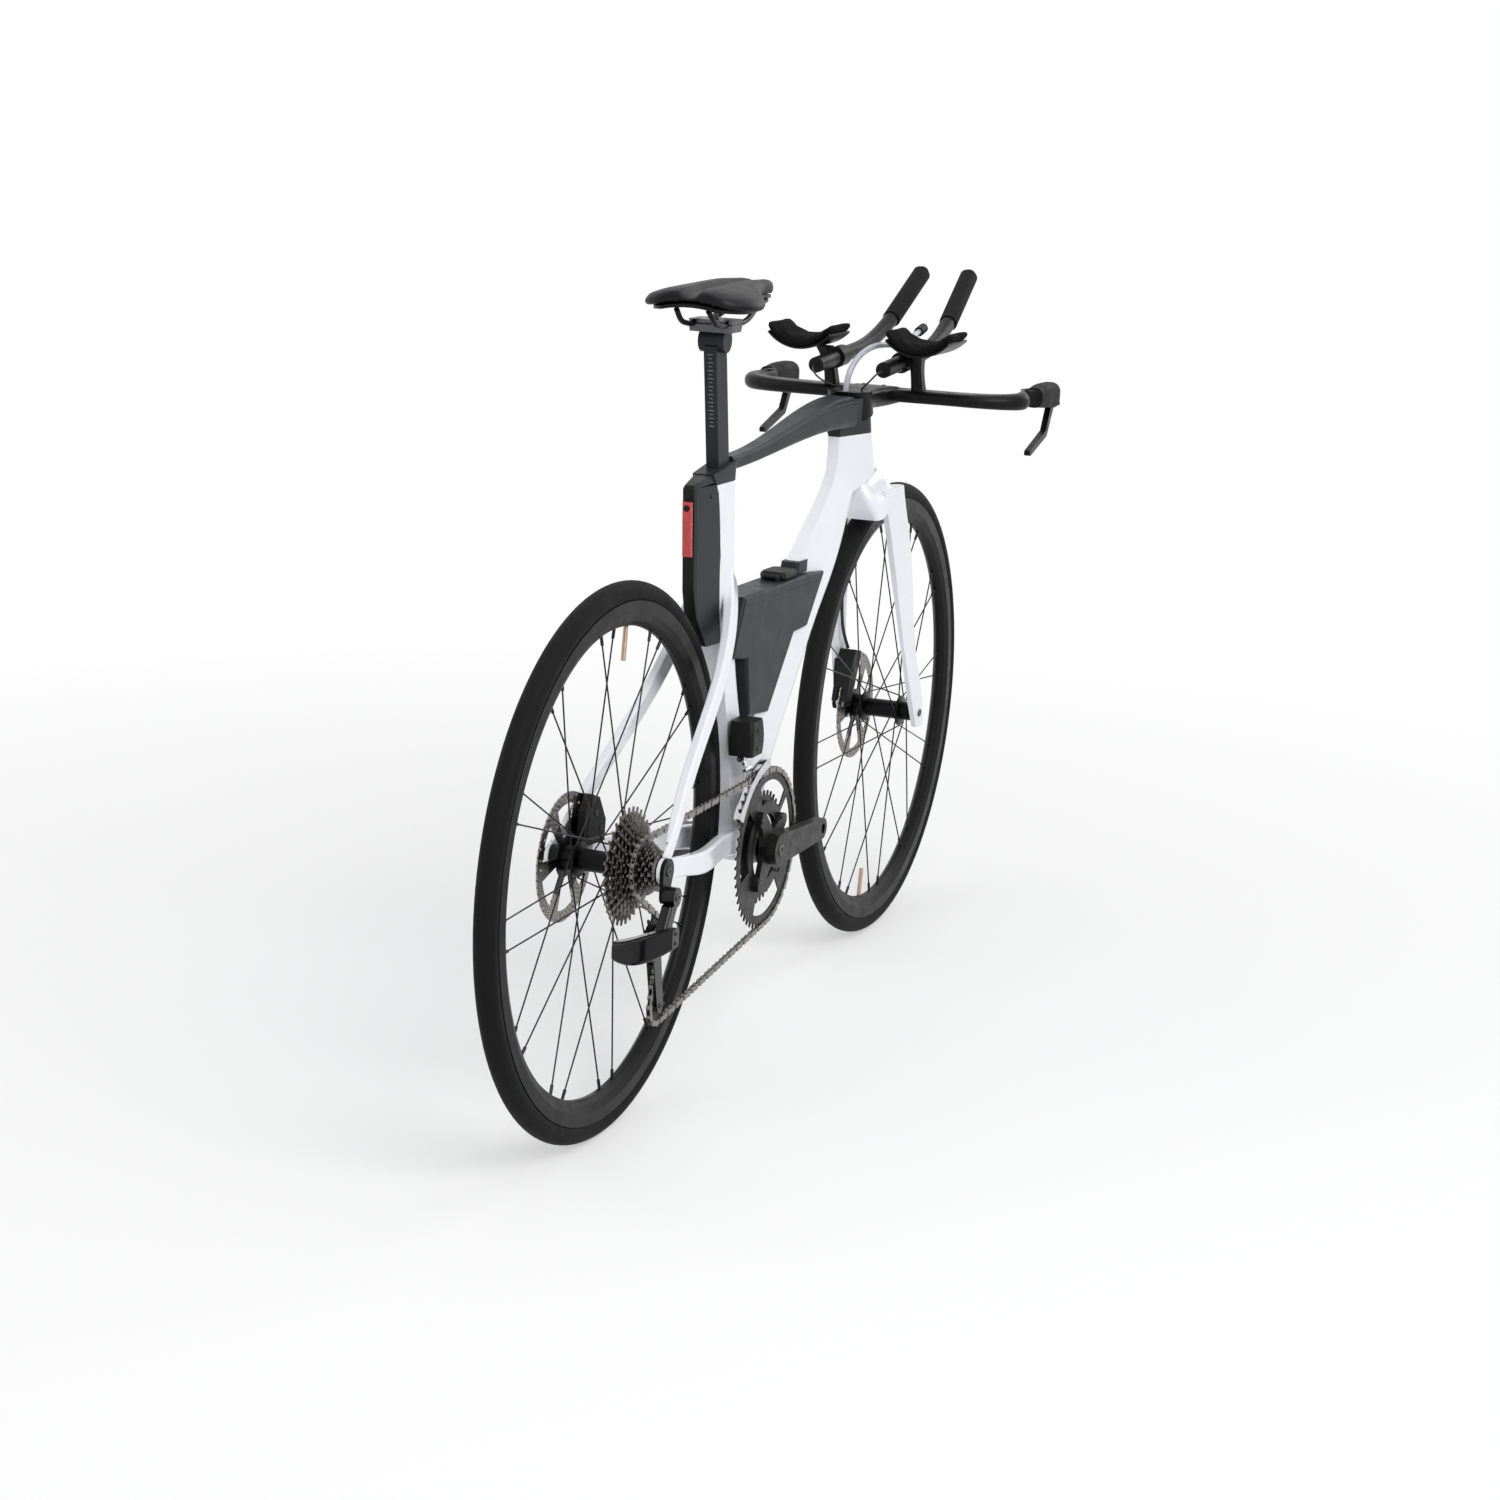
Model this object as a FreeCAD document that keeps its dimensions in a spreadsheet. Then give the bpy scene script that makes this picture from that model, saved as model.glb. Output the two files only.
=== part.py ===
import FreeCAD, Part
import math
import os
import re

import Sketcher
from FreeCAD import Placement, Rotation, Vector

# Driving dimensions in millimetres and degrees. +X is forward, +Y is left, +Z is up, and the origin
# is on the ground, midway between the axles.
SIZES = {
    # Wheels
    "wheelbase": 1004.6,
    "tyre_radius": 340,
    "tyre_width": 28,
    "tyre_wall": 2.2,
    "rim_radius": 317,
    "rim_depth": 31,
    "rim_width": 25,
    "rim_flange": 2.5,
    "rim_wall": 1.8,
    "rim_well": 6,
    "spoke_pairs": 6,
    "spoke_diameter": 2,
    "nipple_diameter": 4,
    "nipple_length": 12,
    "valve_diameter": 6,
    "valve_length": 42,
    "hub_radius": 13.5,
    "flange_radius": 22.5,
    "flange_thickness": 3.2,
    "hub_bore": 10.5,
    "rotor_seat_radius": 17,
    "bearing_width": 9,
    "front_width": 100,
    "front_flange_left": 22,
    "front_flange_right": 34,
    "front_rotor_offset": 38,
    "rear_width": 142,
    "rear_flange_left": 36,
    "rear_flange_right": 19,
    "rear_rotor_offset": 55,
    "hub_drive_end": 23.5,
    "rotor_radius": 80,
    "rotor_track": 14,
    "rotor_thickness": 1.8,
    "rotor_arm_width": 9,
    "rotor_hole": 2.1,
    "axle_diameter": 12,
    "axle_head_radius": 9,
    "axle_head_length": 5,
    # Clearances
    "running_gap": 0.05,
    "seat_gap": 0.1,
    "moving_gap": 0.6,
    # Frame
    "chainstay": 417,
    "bracket_drop": 71.3,
    "head_angle": 72.5,
    "fork_rake": 45,
    "crown_race": 404,
    "head_length": 93,
    "paint_drop": 24.45,
    "drawn_reach": 409.08,
    "shell_radius": 23,
    "shell_width": 68,
    "shell_bore": 15,
    "cup_width": 9,
    "cup_radius": 21.5,
    "steerer_radius": 14.3,
    "headset_radius": 20,
    "headset_height": 8,
    "reservoir_width": 49,
    "reservoir_round": 5,
    "fill_port_radius": 15,
    "fill_port_depth": 60,
    "lid_length": 54,
    "lid_width": 38,
    "lid_height": 11,
    "dropout_thickness": 4.5,
    "dropout_radius": 16,
    "hanger_thickness": 5,
    "hanger_gap": 0.3,
    # Seatpost and saddle
    "post_chord": 40,
    "post_half_nose": 9.5,
    "post_half_tail": 8.5,
    "post_gap": 0.25,
    "wedge_screw_radius": 3,
    "post_insert": 108,
    "saddle_length": 250,
    "saddle_width": 148,
    "saddle_nose_width": 44,
    "saddle_height": 1015,
    "saddle_shell": 4,
    "saddle_droop": 20,
    "channel_width": 26,
    "channel_depth": 9,
    "rail_diameter": 7,
    "rail_spread": 44,
    # Drive
    "chain_pitch": 12.7,
    "chain_plane": 48.5,
    "chain_width": 5.4,
    "roller_diameter": 7.7,
    "plate_thickness": 0.7,
    "ring_teeth": 52,
    "inner_ring_teeth": 36,
    "ring_spacing": 7,
    "ring_thickness": 1.8,
    "crank_length": 165,
    "crank_drop": 3,
    "crank_thickness": 14,
    "crank_boss_radius": 21,
    "crank_end_radius": 14.5,
    "crank_inner_face": 57,
    "pedal_thread_radius": 7.14,
    "spindle_radius": 12,
    "bolt_circle": 55,
    "cog_pitch": 3.58,
    "cog_thickness": 1.6,
    "freehub_radius": 16.5,
    "pulley_teeth": 11,
    "pulley_thickness": 2,
    "cage_length": 99,
    "cage_plate": 1.6,
    "cage_gap": 7.2,
    "pivot_radius": 2,
    # Cockpit
    "stem_radius": 31,
    "stem_gap": 0.8,
    "stem_top": 836,
    "bar_half_width": 206,
    "bar_chord": 44,
    "bar_thickness": 18,
    "extension_diameter": 22.2,
    "extension_spacing": 100,
    "grip_diameter": 27,
    "riser_spacing": 132,
    "pad_spacing": 176,
    "pad_length": 98,
    "pad_width": 99,
    "pad_depth": 32,
    "pad_thickness": 13,
    "tray_thickness": 3,
    "lever_width": 9,
    "button_radius": 6,
    "button_height": 4,
    "button_stem": 4,
    "button_travel": 1.5,
    "hose_diameter": 8.5,
    "brake_hose_diameter": 5,
    "wire_diameter": 2.6,
}

COG_TEETH = [11, 12, 13, 14, 15, 17, 19, 21, 24, 27, 30, 34]
DRIVEN_COG = COG_TEETH.index(17)

doc = FreeCAD.newDocument("time_trial_bike")
sheet = doc.addObject("Spreadsheet::Sheet", "Sizes")
for row, (alias, value) in enumerate(SIZES.items(), start=1):
    sheet.set(f"A{row}", alias)
    sheet.set(f"B{row}", str(value))
    sheet.setAlias(f"B{row}", alias)
doc.recompute()

X = Vector(1, 0, 0)
Y = Vector(0, 1, 0)
Z = Vector(0, 0, 1)
NODES = {}


def size(alias):
    return float(getattr(sheet, alias))


def cell(text):
    """An expression in the words of the sheet, with the sheet's name put before each of them."""
    return re.sub(r"[a-z_]+", lambda word: f"Sizes.{word[0]}" if word[0] in SIZES else word[0], text)


def point(x, y, z):
    return Vector(x, y, z)


def turned(vector, degrees, axis=Y):
    return Rotation(axis, degrees).multVec(vector)


# Anchor points that the rest is placed from
REAR = point(-size("wheelbase") / 2, 0, size("tyre_radius"))
FRONT = point(size("wheelbase") / 2, 0, size("tyre_radius"))
BRACKET_REACH = math.sqrt(size("chainstay") ** 2 - size("bracket_drop") ** 2)
BRACKET = REAR + point(BRACKET_REACH, 0, -size("bracket_drop"))
HEAD_ANGLE = math.radians(size("head_angle"))
STEER_UP = point(-math.cos(HEAD_ANGLE), 0, math.sin(HEAD_ANGLE))
STEER_FORWARD = point(math.sin(HEAD_ANGLE), 0, math.cos(HEAD_ANGLE))
STEER_FOOT = FRONT - STEER_FORWARD * size("fork_rake")
STEM_BASE = size("crown_race") + size("head_length")


def reached(dx):
    """A distance ahead of the bracket, drawn out with the frame's own reach."""
    return dx * FRAME_STRETCH if dx > 0 else dx


def at_bracket(dx, dz, y=0):
    """A point measured from the bottom bracket."""
    return BRACKET + point(reached(dx), y, dz)


def at_rear(dx, dz, y=0):
    """A point measured from the rear axle."""
    return REAR + point(dx, y, dz)


def at_front(dx, dz, y=0):
    """A point measured from the front axle."""
    return FRONT + point(dx, y, dz)


def on_steerer(along, forward=0, y=0):
    """A point along the steering axis, above the foot of the axle's perpendicular."""
    return STEER_FOOT + STEER_UP * along + STEER_FORWARD * forward + Y * y


def steerer_at(height):
    """The point of the steering axis at a height above the ground."""
    return on_steerer((height - STEER_FOOT.z) / STEER_UP.z)


# The cockpit is measured from the steering axis at the stem
STEM_POINT = on_steerer(STEM_BASE + 23.5)
CROWN_HEIGHT = on_steerer(size("crown_race")).z
STEM_HEIGHT = on_steerer(STEM_BASE).z
PAINT_LINE = STEM_HEIGHT - size("paint_drop")
FRAME_STRETCH = (steerer_at(PAINT_LINE).x - BRACKET.x) / size("drawn_reach")


def at_stem(dx, dz, y=0):
    """A point measured from the middle of the stem."""
    return STEM_POINT + point(dx, y, dz)


def node(label, obj):
    obj.Label = label
    NODES[label] = obj
    return obj


def feature(name, shape):
    obj = doc.addObject("Part::Feature", name)
    obj.Shape = shape
    obj.Placement = Placement()
    return obj


def bind(obj, **expressions):
    for prop, text in expressions.items():
        obj.setExpression(prop.replace("__", "."), cell(text))
    return obj


def cylinder(name, radius, height, start, direction=Y):
    obj = doc.addObject("Part::Cylinder", name)
    bind(obj, Radius=radius, Height=height)
    obj.Placement = Placement(start, Rotation(Z, direction))
    return obj


def joined(name, parts):
    obj = doc.addObject("Part::MultiFuse", name)
    obj.Shapes = parts
    obj.Refine = False
    return obj


def cut(name, base, *tools):
    for count, tool in enumerate(tools):
        obj = doc.addObject("Part::Cut", f"{name}_{count}")
        obj.Base = base
        obj.Tool = tool
        obj.Refine = False
        base = obj
    return base


def grouped(name, parts):
    obj = doc.addObject("Part::Compound", name)
    obj.Links = parts
    return obj


def mirrored(source):
    obj = doc.addObject("Part::Mirroring", f"{source.Name}_mirror")
    obj.Source = source
    obj.Normal = Y
    return obj


def both_sides(name, part):
    return grouped(name, [part, mirrored(part)])


def new_sketch(body, name, role):
    sketch = body.newObject("Sketcher::SketchObject", name)
    plane = [f for f in body.Origin.OriginFeatures if f.Role == role][0]
    sketch.AttachmentSupport = [(plane, "")]
    sketch.MapMode = "FlatFace"
    return sketch


def bound_constraint(sketch, text, *arguments):
    index = sketch.addConstraint(Sketcher.Constraint(*arguments))
    sketch.setExpression(f"Constraints[{index}]", cell(text))


def add_outline(sketch, outline):
    """A closed outline of straight edges, each corner held by two bound distances."""
    first = sketch.GeometryCount
    count = len(outline)
    guess = [turned(point(10, 0, 0), 360 * i / count, Z) + point(20, 0, 0) for i in range(count)]
    lines = [Part.LineSegment(guess[i], guess[(i + 1) % count]) for i in range(count)]
    sketch.addGeometry(lines, False)
    for i in range(count):
        following = first + (i + 1) % count
        sketch.addConstraint(Sketcher.Constraint("Coincident", first + i, 2, following, 1))
    for i, (across, up) in enumerate(outline):
        bound_constraint(sketch, across, "DistanceX", -1, 1, first + i, 1, guess[i].x)
        bound_constraint(sketch, up, "DistanceY", -1, 1, first + i, 1, guess[i].y)


def add_circle(sketch, radius, across="0", up="0", guess=(0, 0)):
    index = sketch.addGeometry(Part.Circle(point(guess[0], guess[1], 0), Z, 1), False)
    bound_constraint(sketch, radius, "Radius", index, 1.0)
    bound_constraint(sketch, across, "DistanceX", -1, 1, index, 3, guess[0])
    bound_constraint(sketch, up, "DistanceY", -1, 1, index, 3, guess[1])


def lathe(name, outlines, centre):
    """A body turned about a Y axis through centre, from outlines of (radius, distance along Y)."""
    body = doc.addObject("PartDesign::Body", name)
    sketch = new_sketch(body, f"{name}_section", "XY_Plane")
    for outline in outlines:
        add_outline(sketch, outline)
    turn = body.newObject("PartDesign::Revolution", f"{name}_turn")
    turn.Profile = sketch
    turn.ReferenceAxis = (sketch, ["V_Axis"])
    turn.Angle = 360
    body.Placement = Placement(centre, Rotation())
    return body


def ring(name, inner, outer, low, high, centre):
    return lathe(name, [[(inner, low), (outer, low), (outer, high), (inner, high)]], centre)


def padded_sketch(body, sketch, thickness, name):
    pad = body.newObject("PartDesign::Pad", name)
    pad.Profile = sketch
    pad.setExpression("Length", cell(thickness))
    return pad


def plate(name, outline, thickness, corner):
    """A flat piece with its outline in XZ, from corner's Y towards the right."""
    body = doc.addObject("PartDesign::Body", name)
    sketch = new_sketch(body, f"{name}_outline", "XZ_Plane")
    add_outline(sketch, outline)
    padded_sketch(body, sketch, thickness, f"{name}_pad")
    body.Placement = Placement(corner, Rotation())
    return body


def link(name, start, end, start_radius, end_radius, thickness, holes=(None, None)):
    """A bar with round ends from start to end, in XZ, that grows from start's Y towards the right."""
    reach = end - start
    length = math.hypot(reach.x, reach.z)
    body = doc.addObject("PartDesign::Body", name)
    sketch = new_sketch(body, f"{name}_outline", "XZ_Plane")
    radii = [link_radius(start_radius), link_radius(end_radius)]
    lean = math.asin((radii[0] - radii[1]) / length)
    rise = point(math.sin(lean), math.cos(lean), 0)
    fall = point(math.sin(lean), -math.cos(lean), 0)
    far = point(length, 0, 0)
    quarter = math.pi / 2 - lean
    circles = [Part.Circle(point(0, 0, 0), Z, radii[0]), Part.Circle(far, Z, radii[1])]
    sketch.addGeometry([
        Part.ArcOfCircle(circles[0], quarter, 2 * math.pi - quarter),
        Part.LineSegment(fall * radii[0], far + fall * radii[1]),
        Part.ArcOfCircle(circles[1], -quarter, quarter),
        Part.LineSegment(far + rise * radii[1], rise * radii[0]),
    ], False)
    for i in range(4):
        sketch.addConstraint(Sketcher.Constraint("Tangent", i, 2, (i + 1) % 4, 1))
    sketch.addConstraint(Sketcher.Constraint("Coincident", 0, 3, -1, 1))
    sketch.addConstraint(Sketcher.Constraint("PointOnObject", 2, 3, -1))
    sketch.addConstraint(Sketcher.Constraint("DistanceX", -1, 1, 2, 3, length))
    bound_constraint(sketch, start_radius, "Radius", 0, radii[0])
    bound_constraint(sketch, end_radius, "Radius", 2, radii[1])
    for hole, place in zip(holes, (0, length)):
        if hole:
            add_circle(sketch, hole, f"{place}", "0", (place, 0))
    padded_sketch(body, sketch, thickness, f"{name}_pad")
    body.Placement = Placement(start, Rotation(Y, -math.degrees(math.atan2(reach.z, reach.x))))
    return body


def web(name, first, second, axis, half, half_thick):
    """A flat bar from one point to another, as wide as its hinge along the axis."""
    reach = second - first
    reach.normalize()
    side = axis.cross(reach)
    side.normalize()
    ends = [round_section(place, axis, side, half, half_thick, 0.4 * half_thick)
            for place in (first, second)]
    return feature(name, loft(ends))


def hinge_barrel(name, centre, root, axis, radius, half):
    """A barrel for a hinge pin, on a bar from its root."""
    barrel = cylinder(f"{name}_barrel", f"{radius}", f"{2 * half}", centre - axis * half, axis)
    return [barrel, web(f"{name}_web", root, centre, axis, half, 0.7 * radius)]


def pin_bore(name, centre, axis, half):
    return cylinder(name, "pivot_radius + running_gap", f"{2 * half + 2}", centre - axis * (half + 1), axis)


def hinge_ears(name, centre, root, axis, radius, half, ear):
    """Two ears beside a barrel, on bars from their root, and the pin through them."""
    gap = size("moving_gap") / 2
    pieces = []
    for sign in (1, -1):
        shift = axis * (sign * (half + gap + ear / 2))
        pieces += hinge_barrel(f"{name}_ear_{'far' if sign > 0 else 'near'}", centre + shift, root + shift,
                               axis, radius, ear / 2)
    reach = half + gap + ear
    pieces.append(cylinder(f"{name}_pin", "pivot_radius", f"{2 * reach}", centre - axis * reach, axis))
    return pieces


def swing_link(name, first, second, axis, radius, half):
    """A link between two hinge pins."""
    middle = (first + second) / 2
    parts = hinge_barrel(f"{name}_first", first, middle, axis, radius, half)
    parts += hinge_barrel(f"{name}_second", second, middle, axis, radius, half)
    bores = [pin_bore(f"{name}_bore_{i}", place, axis, half) for i, place in enumerate((first, second))]
    return cut(name, joined(f"{name}_whole", parts), *bores)


def link_radius(text):
    """A link's end radius as a number: a size's name, or a plain number."""
    if text in SIZES:
        return size(text)
    return float(text)


def polygon(points):
    return Part.makePolygon(list(points) + [points[0]])


def arc(start, middle, end):
    return Part.Arc(start, middle, end).toShape()


def line(start, end):
    return Part.LineSegment(start, end).toShape()


def loft(wires, ruled=False):
    return Part.makeLoft(wires, True, ruled)


def tube_section(nose, tail, half_nose, half_tail):
    """A blade section: round nose, straight flanks and a flat tail, upright across the bike."""
    forward = nose - tail
    chord = forward.Length
    forward.normalize()
    centre = chord - half_nose
    reach = math.hypot(centre, half_tail)
    lean = math.asin(half_nose / reach) - math.atan2(half_tail, centre)
    flank = math.sqrt(reach ** 2 - half_nose ** 2)

    def place(along, across):
        return tail + forward * along + Y * across

    touch = (flank * math.cos(lean), half_tail + flank * math.sin(lean))
    half_turn = (math.pi / 2 + lean) / 2
    swing = (centre + half_nose * math.cos(half_turn), half_nose * math.sin(half_turn))
    left = [place(0, half_tail), place(*touch), place(*swing)]
    right = [place(0, -half_tail), place(touch[0], -touch[1]), place(swing[0], -swing[1])]
    return Part.Wire([
        line(right[0], right[1]),
        arc(right[1], right[2], nose),
        arc(nose, left[2], left[1]),
        line(left[1], left[0]),
        line(left[0], right[0]),
    ])


def round_section(centre, across, up, half_across, half_up, radius):
    """A rectangle with round corners in the plane of two unit directions."""
    corner = radius * (1 - math.sqrt(0.5))

    def place(a, b):
        return centre + across * a + up * b

    edges = []
    inner_a = half_across - radius
    inner_b = half_up - radius
    walk = [(1, 1), (-1, 1), (-1, -1), (1, -1)]
    for i, (sa, sb) in enumerate(walk):
        side_end = place(sa * half_across, sb * inner_b)
        top_end = place(sa * inner_a, sb * half_up)
        middle = place(sa * (half_across - corner), sb * (half_up - corner))
        next_a, next_b = walk[(i + 1) % 4]
        if sa == sb:
            edges.append(arc(side_end, middle, top_end))
            edges.append(line(top_end, place(next_a * inner_a, next_b * half_up)))
        else:
            edges.append(arc(top_end, middle, side_end))
            edges.append(line(side_end, place(next_a * half_across, next_b * inner_b)))
    return Part.Wire(edges)


def rounded_route(points):
    """Straight runs joined by arcs as large as the shorter run allows, and the arcs' radii."""
    edges = []
    radii = []
    start = points[0]
    for before, corner, after in zip(points, points[1:], points[2:]):
        back = before - corner
        ahead = after - corner
        trim = 0.45 * min(back.Length, ahead.Length)
        back.normalize()
        ahead.normalize()
        half_angle = math.acos(max(-1, min(1, back.dot(ahead)))) / 2
        radius = trim * math.tan(half_angle)
        radii.append(radius)
        inward = back + ahead
        inward.normalize()
        centre = corner + inward * (trim / math.cos(half_angle))
        arc_start = corner + back * trim
        arc_end = corner + ahead * trim
        edges.append(line(start, arc_start))
        edges.append(arc(arc_start, centre - inward * radius, arc_end))
        start = arc_end
    edges.append(line(start, points[-1]))
    return Part.Wire(edges), radii


def cord(name, points, diameter):
    """A round cord along a route of hand-picked points."""
    route, radii = rounded_route(points)
    run = points[1] - points[0]
    circle = Part.Wire(Part.makeCircle(diameter / 2, points[0], run))
    shape = route.makePipeShell([circle], True, False)
    share = shape.Volume / (math.pi * diameter ** 2 / 4 * route.Length)
    print(f"{name}: length {route.Length:.0f}, volume share {share:.3f},",
          "radii", " ".join(f"{radius:.0f}" for radius in radii))
    return shape


def toothed_outline(teeth, centre, phase):
    """A sprocket's outline in XZ: round valleys on the pitch circle and short straight flanks."""
    step = 2 * math.pi / teeth
    pitch_radius = size("chain_pitch") / (2 * math.sin(step / 2))
    valley = size("roller_diameter") / 2 + 0.3
    tip_radius = pitch_radius + 0.26 * size("chain_pitch")

    def place(radius, angle):
        return centre + point(radius * math.cos(angle), 0, radius * math.sin(angle))

    edges = []
    half_valley = valley / pitch_radius
    half_tip = 0.09 * step
    for tooth in range(teeth):
        middle = phase + tooth * step
        start = place(pitch_radius + 0.2 * valley, middle - half_valley)
        low = place(pitch_radius - valley, middle)
        end = place(pitch_radius + 0.2 * valley, middle + half_valley)
        tip_start = place(tip_radius, middle + step / 2 - half_tip)
        tip_end = place(tip_radius, middle + step / 2 + half_tip)
        edges.append(arc(start, low, end))
        edges.append(line(end, tip_start))
        edges.append(line(tip_start, tip_end))
        following = place(pitch_radius + 0.2 * valley, middle + step - half_valley)
        edges.append(line(tip_end, following))
    return Part.Wire(edges)


def pitch_radius_of(teeth):
    return size("chain_pitch") / (2 * math.sin(math.pi / teeth))


def ring_window(centre, inner, outer, start, end):
    """A window between two radii and two angles, in XZ."""
    def place(radius, angle):
        return centre + turned(point(radius, 0, 0), -angle)

    middle = (start + end) / 2
    return Part.Wire([
        arc(place(inner, start), place(inner, middle), place(inner, end)),
        line(place(inner, end), place(outer, end)),
        arc(place(outer, end), place(outer, middle), place(outer, start)),
        line(place(outer, start), place(inner, start)),
    ])


def flat_solid(outline, holes, thickness):
    """A plate cut from an XZ outline with holes, half its thickness to each side."""
    face = Part.makeFace([outline] + holes, "Part::FaceMakerBullseye")
    face.translate(Y * (-thickness / 2))
    return face.extrude(Y * thickness)


def circle_wire(centre, radius):
    return Part.Wire(Part.makeCircle(radius, centre, Y))


# Wheels

def tyre(name, centre):
    """A hollow tyre cut off where it meets the rim."""
    upright = Rotation(Z, Y)
    outer = bind(doc.addObject("Part::Torus", f"{name}_outer"),
                 Radius1="tyre_radius - tyre_width / 2", Radius2="tyre_width / 2")
    inner = bind(doc.addObject("Part::Torus", f"{name}_inner"),
                 Radius1="tyre_radius - tyre_width / 2", Radius2="tyre_width / 2 - tyre_wall")
    for torus in (outer, inner):
        torus.Placement = Placement(centre, upright)
    seat = cylinder(f"{name}_seat", "rim_radius + seat_gap", "2 * tyre_width",
                    centre - Y * size("tyre_width"))
    node(name, cut(name, outer, inner, seat))


def rim(name, centre, valve_angle):
    """A hollow rim with a tyre well, and its valve."""
    half = "rim_width / 2"
    right_side = [
        ("rim_radius", f"{half} - rim_flange"),
        ("rim_radius", half),
        ("rim_radius - 0.5 * rim_depth", half),
        ("rim_radius - 0.8 * rim_depth", f"0.68 * {half}"),
        ("rim_radius - 0.95 * rim_depth", f"0.36 * {half}"),
        ("rim_radius - rim_depth", f"0.2 * {half}"),
    ]
    well = [("rim_radius - rim_well", f"{half} - rim_flange")]
    outline = well + right_side + opposite(right_side) + opposite(well)
    chamber_side = [
        ("rim_radius - rim_well - rim_wall", f"{half} - rim_wall - rim_flange"),
        ("rim_radius - 0.5 * rim_depth", f"{half} - rim_wall"),
        ("rim_radius - 0.8 * rim_depth + rim_wall", f"0.68 * {half} - rim_wall"),
        ("rim_radius - 0.95 * rim_depth + rim_wall", f"0.36 * {half} - rim_wall"),
    ]
    hoop = lathe(f"{name}_hoop", [outline, chamber_side + opposite(chamber_side)], centre)
    towards = turned(X, -valve_angle)
    start = centre + towards * (size("rim_radius") - size("rim_depth") - size("seat_gap"))
    valve = cylinder(f"{name}_valve", "valve_diameter / 2", "valve_length", start, -towards)
    node(name, grouped(name, [hoop, valve]))


def opposite(side):
    """The other half of a section that is the same on both sides, in walking order."""
    return [(radius, f"-({along})") for radius, along in reversed(side)]


def hub(name, centre, left_end, right_end, left_flange, right_flange, rotor, bore_right):
    """A hub shell with two spoke flanges and a rotor seat, and a bearing in each end."""
    half = "flange_thickness / 2"
    outline = [
        ("hub_bore", f"-({right_end})"),
        ("hub_radius", f"-({right_end})"),
        ("hub_radius", f"-({right_flange} + 2 * {half})"),
        ("flange_radius", f"-({right_flange} + {half})"),
        ("flange_radius", f"-({right_flange} - {half})"),
        ("hub_radius", f"-({right_flange} - 3 * {half})"),
        ("hub_radius", f"{left_flange} - 3 * {half}"),
        ("flange_radius", f"{left_flange} - {half}"),
        ("flange_radius", f"{left_flange} + {half}"),
        ("rotor_seat_radius", f"{left_flange} + 2 * {half}"),
        ("rotor_seat_radius", f"{rotor} + 2 * rotor_thickness"),
        ("hub_radius", f"{rotor} + 2 * rotor_thickness"),
        ("hub_radius", left_end),
        ("hub_bore", left_end),
    ]
    shell = lathe(f"{name}_shell", [outline], centre)
    sleeve = "axle_diameter / 2 + running_gap"
    ends = [
        ring(f"{name}_left_bearing", sleeve, "hub_bore", f"{left_end} - bearing_width", left_end, centre),
        ring(f"{name}_right_bearing", sleeve, "hub_bore", f"-({bore_right})",
             f"-({bore_right} - bearing_width)", centre),
    ]
    node(name, grouped(name, [shell] + ends))


def spoke_count():
    """Spokes on one flange."""
    return 2 * int(size("spoke_pairs"))


def spokes(name, centre, left_flange, right_flange):
    """Crossed spokes on both flanges."""
    pieces = []
    step = 360 / spoke_count()
    rim_inner = size("rim_radius") - size("rim_depth")
    for side, flange in ((1, left_flange), (-1, right_flange)):
        shift = 0 if side > 0 else step / 4
        pair = [spoke(centre, side * flange, shift, -1, rim_inner, step),
                spoke(centre, side * flange, shift + step, 1, rim_inner, step)]
        for index in range(int(size("spoke_pairs"))):
            pieces += [wire.copy().rotate(centre, Y, -index * 2 * step) for wire in pair]
    node(name, feature(name, Part.makeCompound(pieces)))


def spoke(centre, flange, hub_angle, sense, rim_inner, step):
    """One spoke that runs from its flange's edge to a nipple at the rim."""
    radius = size("spoke_diameter") / 2
    reach = size("flange_radius") + radius + 3 * size("seat_gap")
    lift = 0.45 * size("flange_thickness")
    heel = centre + turned(point(reach, 0, 0), -hub_angle) + Y * (flange + sense * lift)
    rim_angle = hub_angle + sense * 2 * step
    toe = centre + turned(point(rim_inner, 0, 0), -rim_angle)
    run = toe - heel
    length = run.Length - 3.5 * size("seat_gap")
    run.normalize()
    nipple = size("nipple_length")
    wire = Part.makeCylinder(radius, length - nipple / 2, heel, run)
    sleeve = Part.makeCylinder(size("nipple_diameter") / 2, nipple, heel + run * (length - nipple), run)
    return wire.fuse([Part.makeSphere(radius, heel), sleeve])


def rotor(name, centre, offset):
    """A brake disc: a drilled track on a ring of arms."""
    face_radius = size("rotor_radius")
    inner = face_radius - size("rotor_track")
    boss = size("rotor_seat_radius") + 8
    arms = 6
    middle = centre + Y * offset
    windows = []
    for index in range(arms):
        start = index * 360 / arms
        spread = math.degrees(size("rotor_arm_width") / inner)
        windows.append(ring_window(middle, boss, inner, start + 1.7 * spread, start + 360 / arms - spread))
    for index in range(6 * arms):
        along = (0.25, 0.5, 0.75)[index % 3]
        towards = turned(point(inner + along * size("rotor_track"), 0, 0), 360 / (6 * arms) * index)
        windows.append(circle_wire(middle + towards, size("rotor_hole")))
    bore = circle_wire(middle, size("rotor_seat_radius") + size("seat_gap"))
    disc = flat_solid(circle_wire(middle, face_radius), windows + [bore], size("rotor_thickness"))
    node(name, feature(name, disc))


def thru_axle(name, centre, half_width, head_at):
    """An axle with its head on the left side."""
    bore = "axle_diameter / 2"
    outline = [
        ("0", f"-({half_width})"),
        (bore, f"-({half_width})"),
        (bore, head_at),
        ("axle_head_radius", head_at),
        ("axle_head_radius", f"{head_at} + axle_head_length"),
        ("0", f"{head_at} + axle_head_length"),
    ]
    node(name, lathe(name, [outline], centre))


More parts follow.
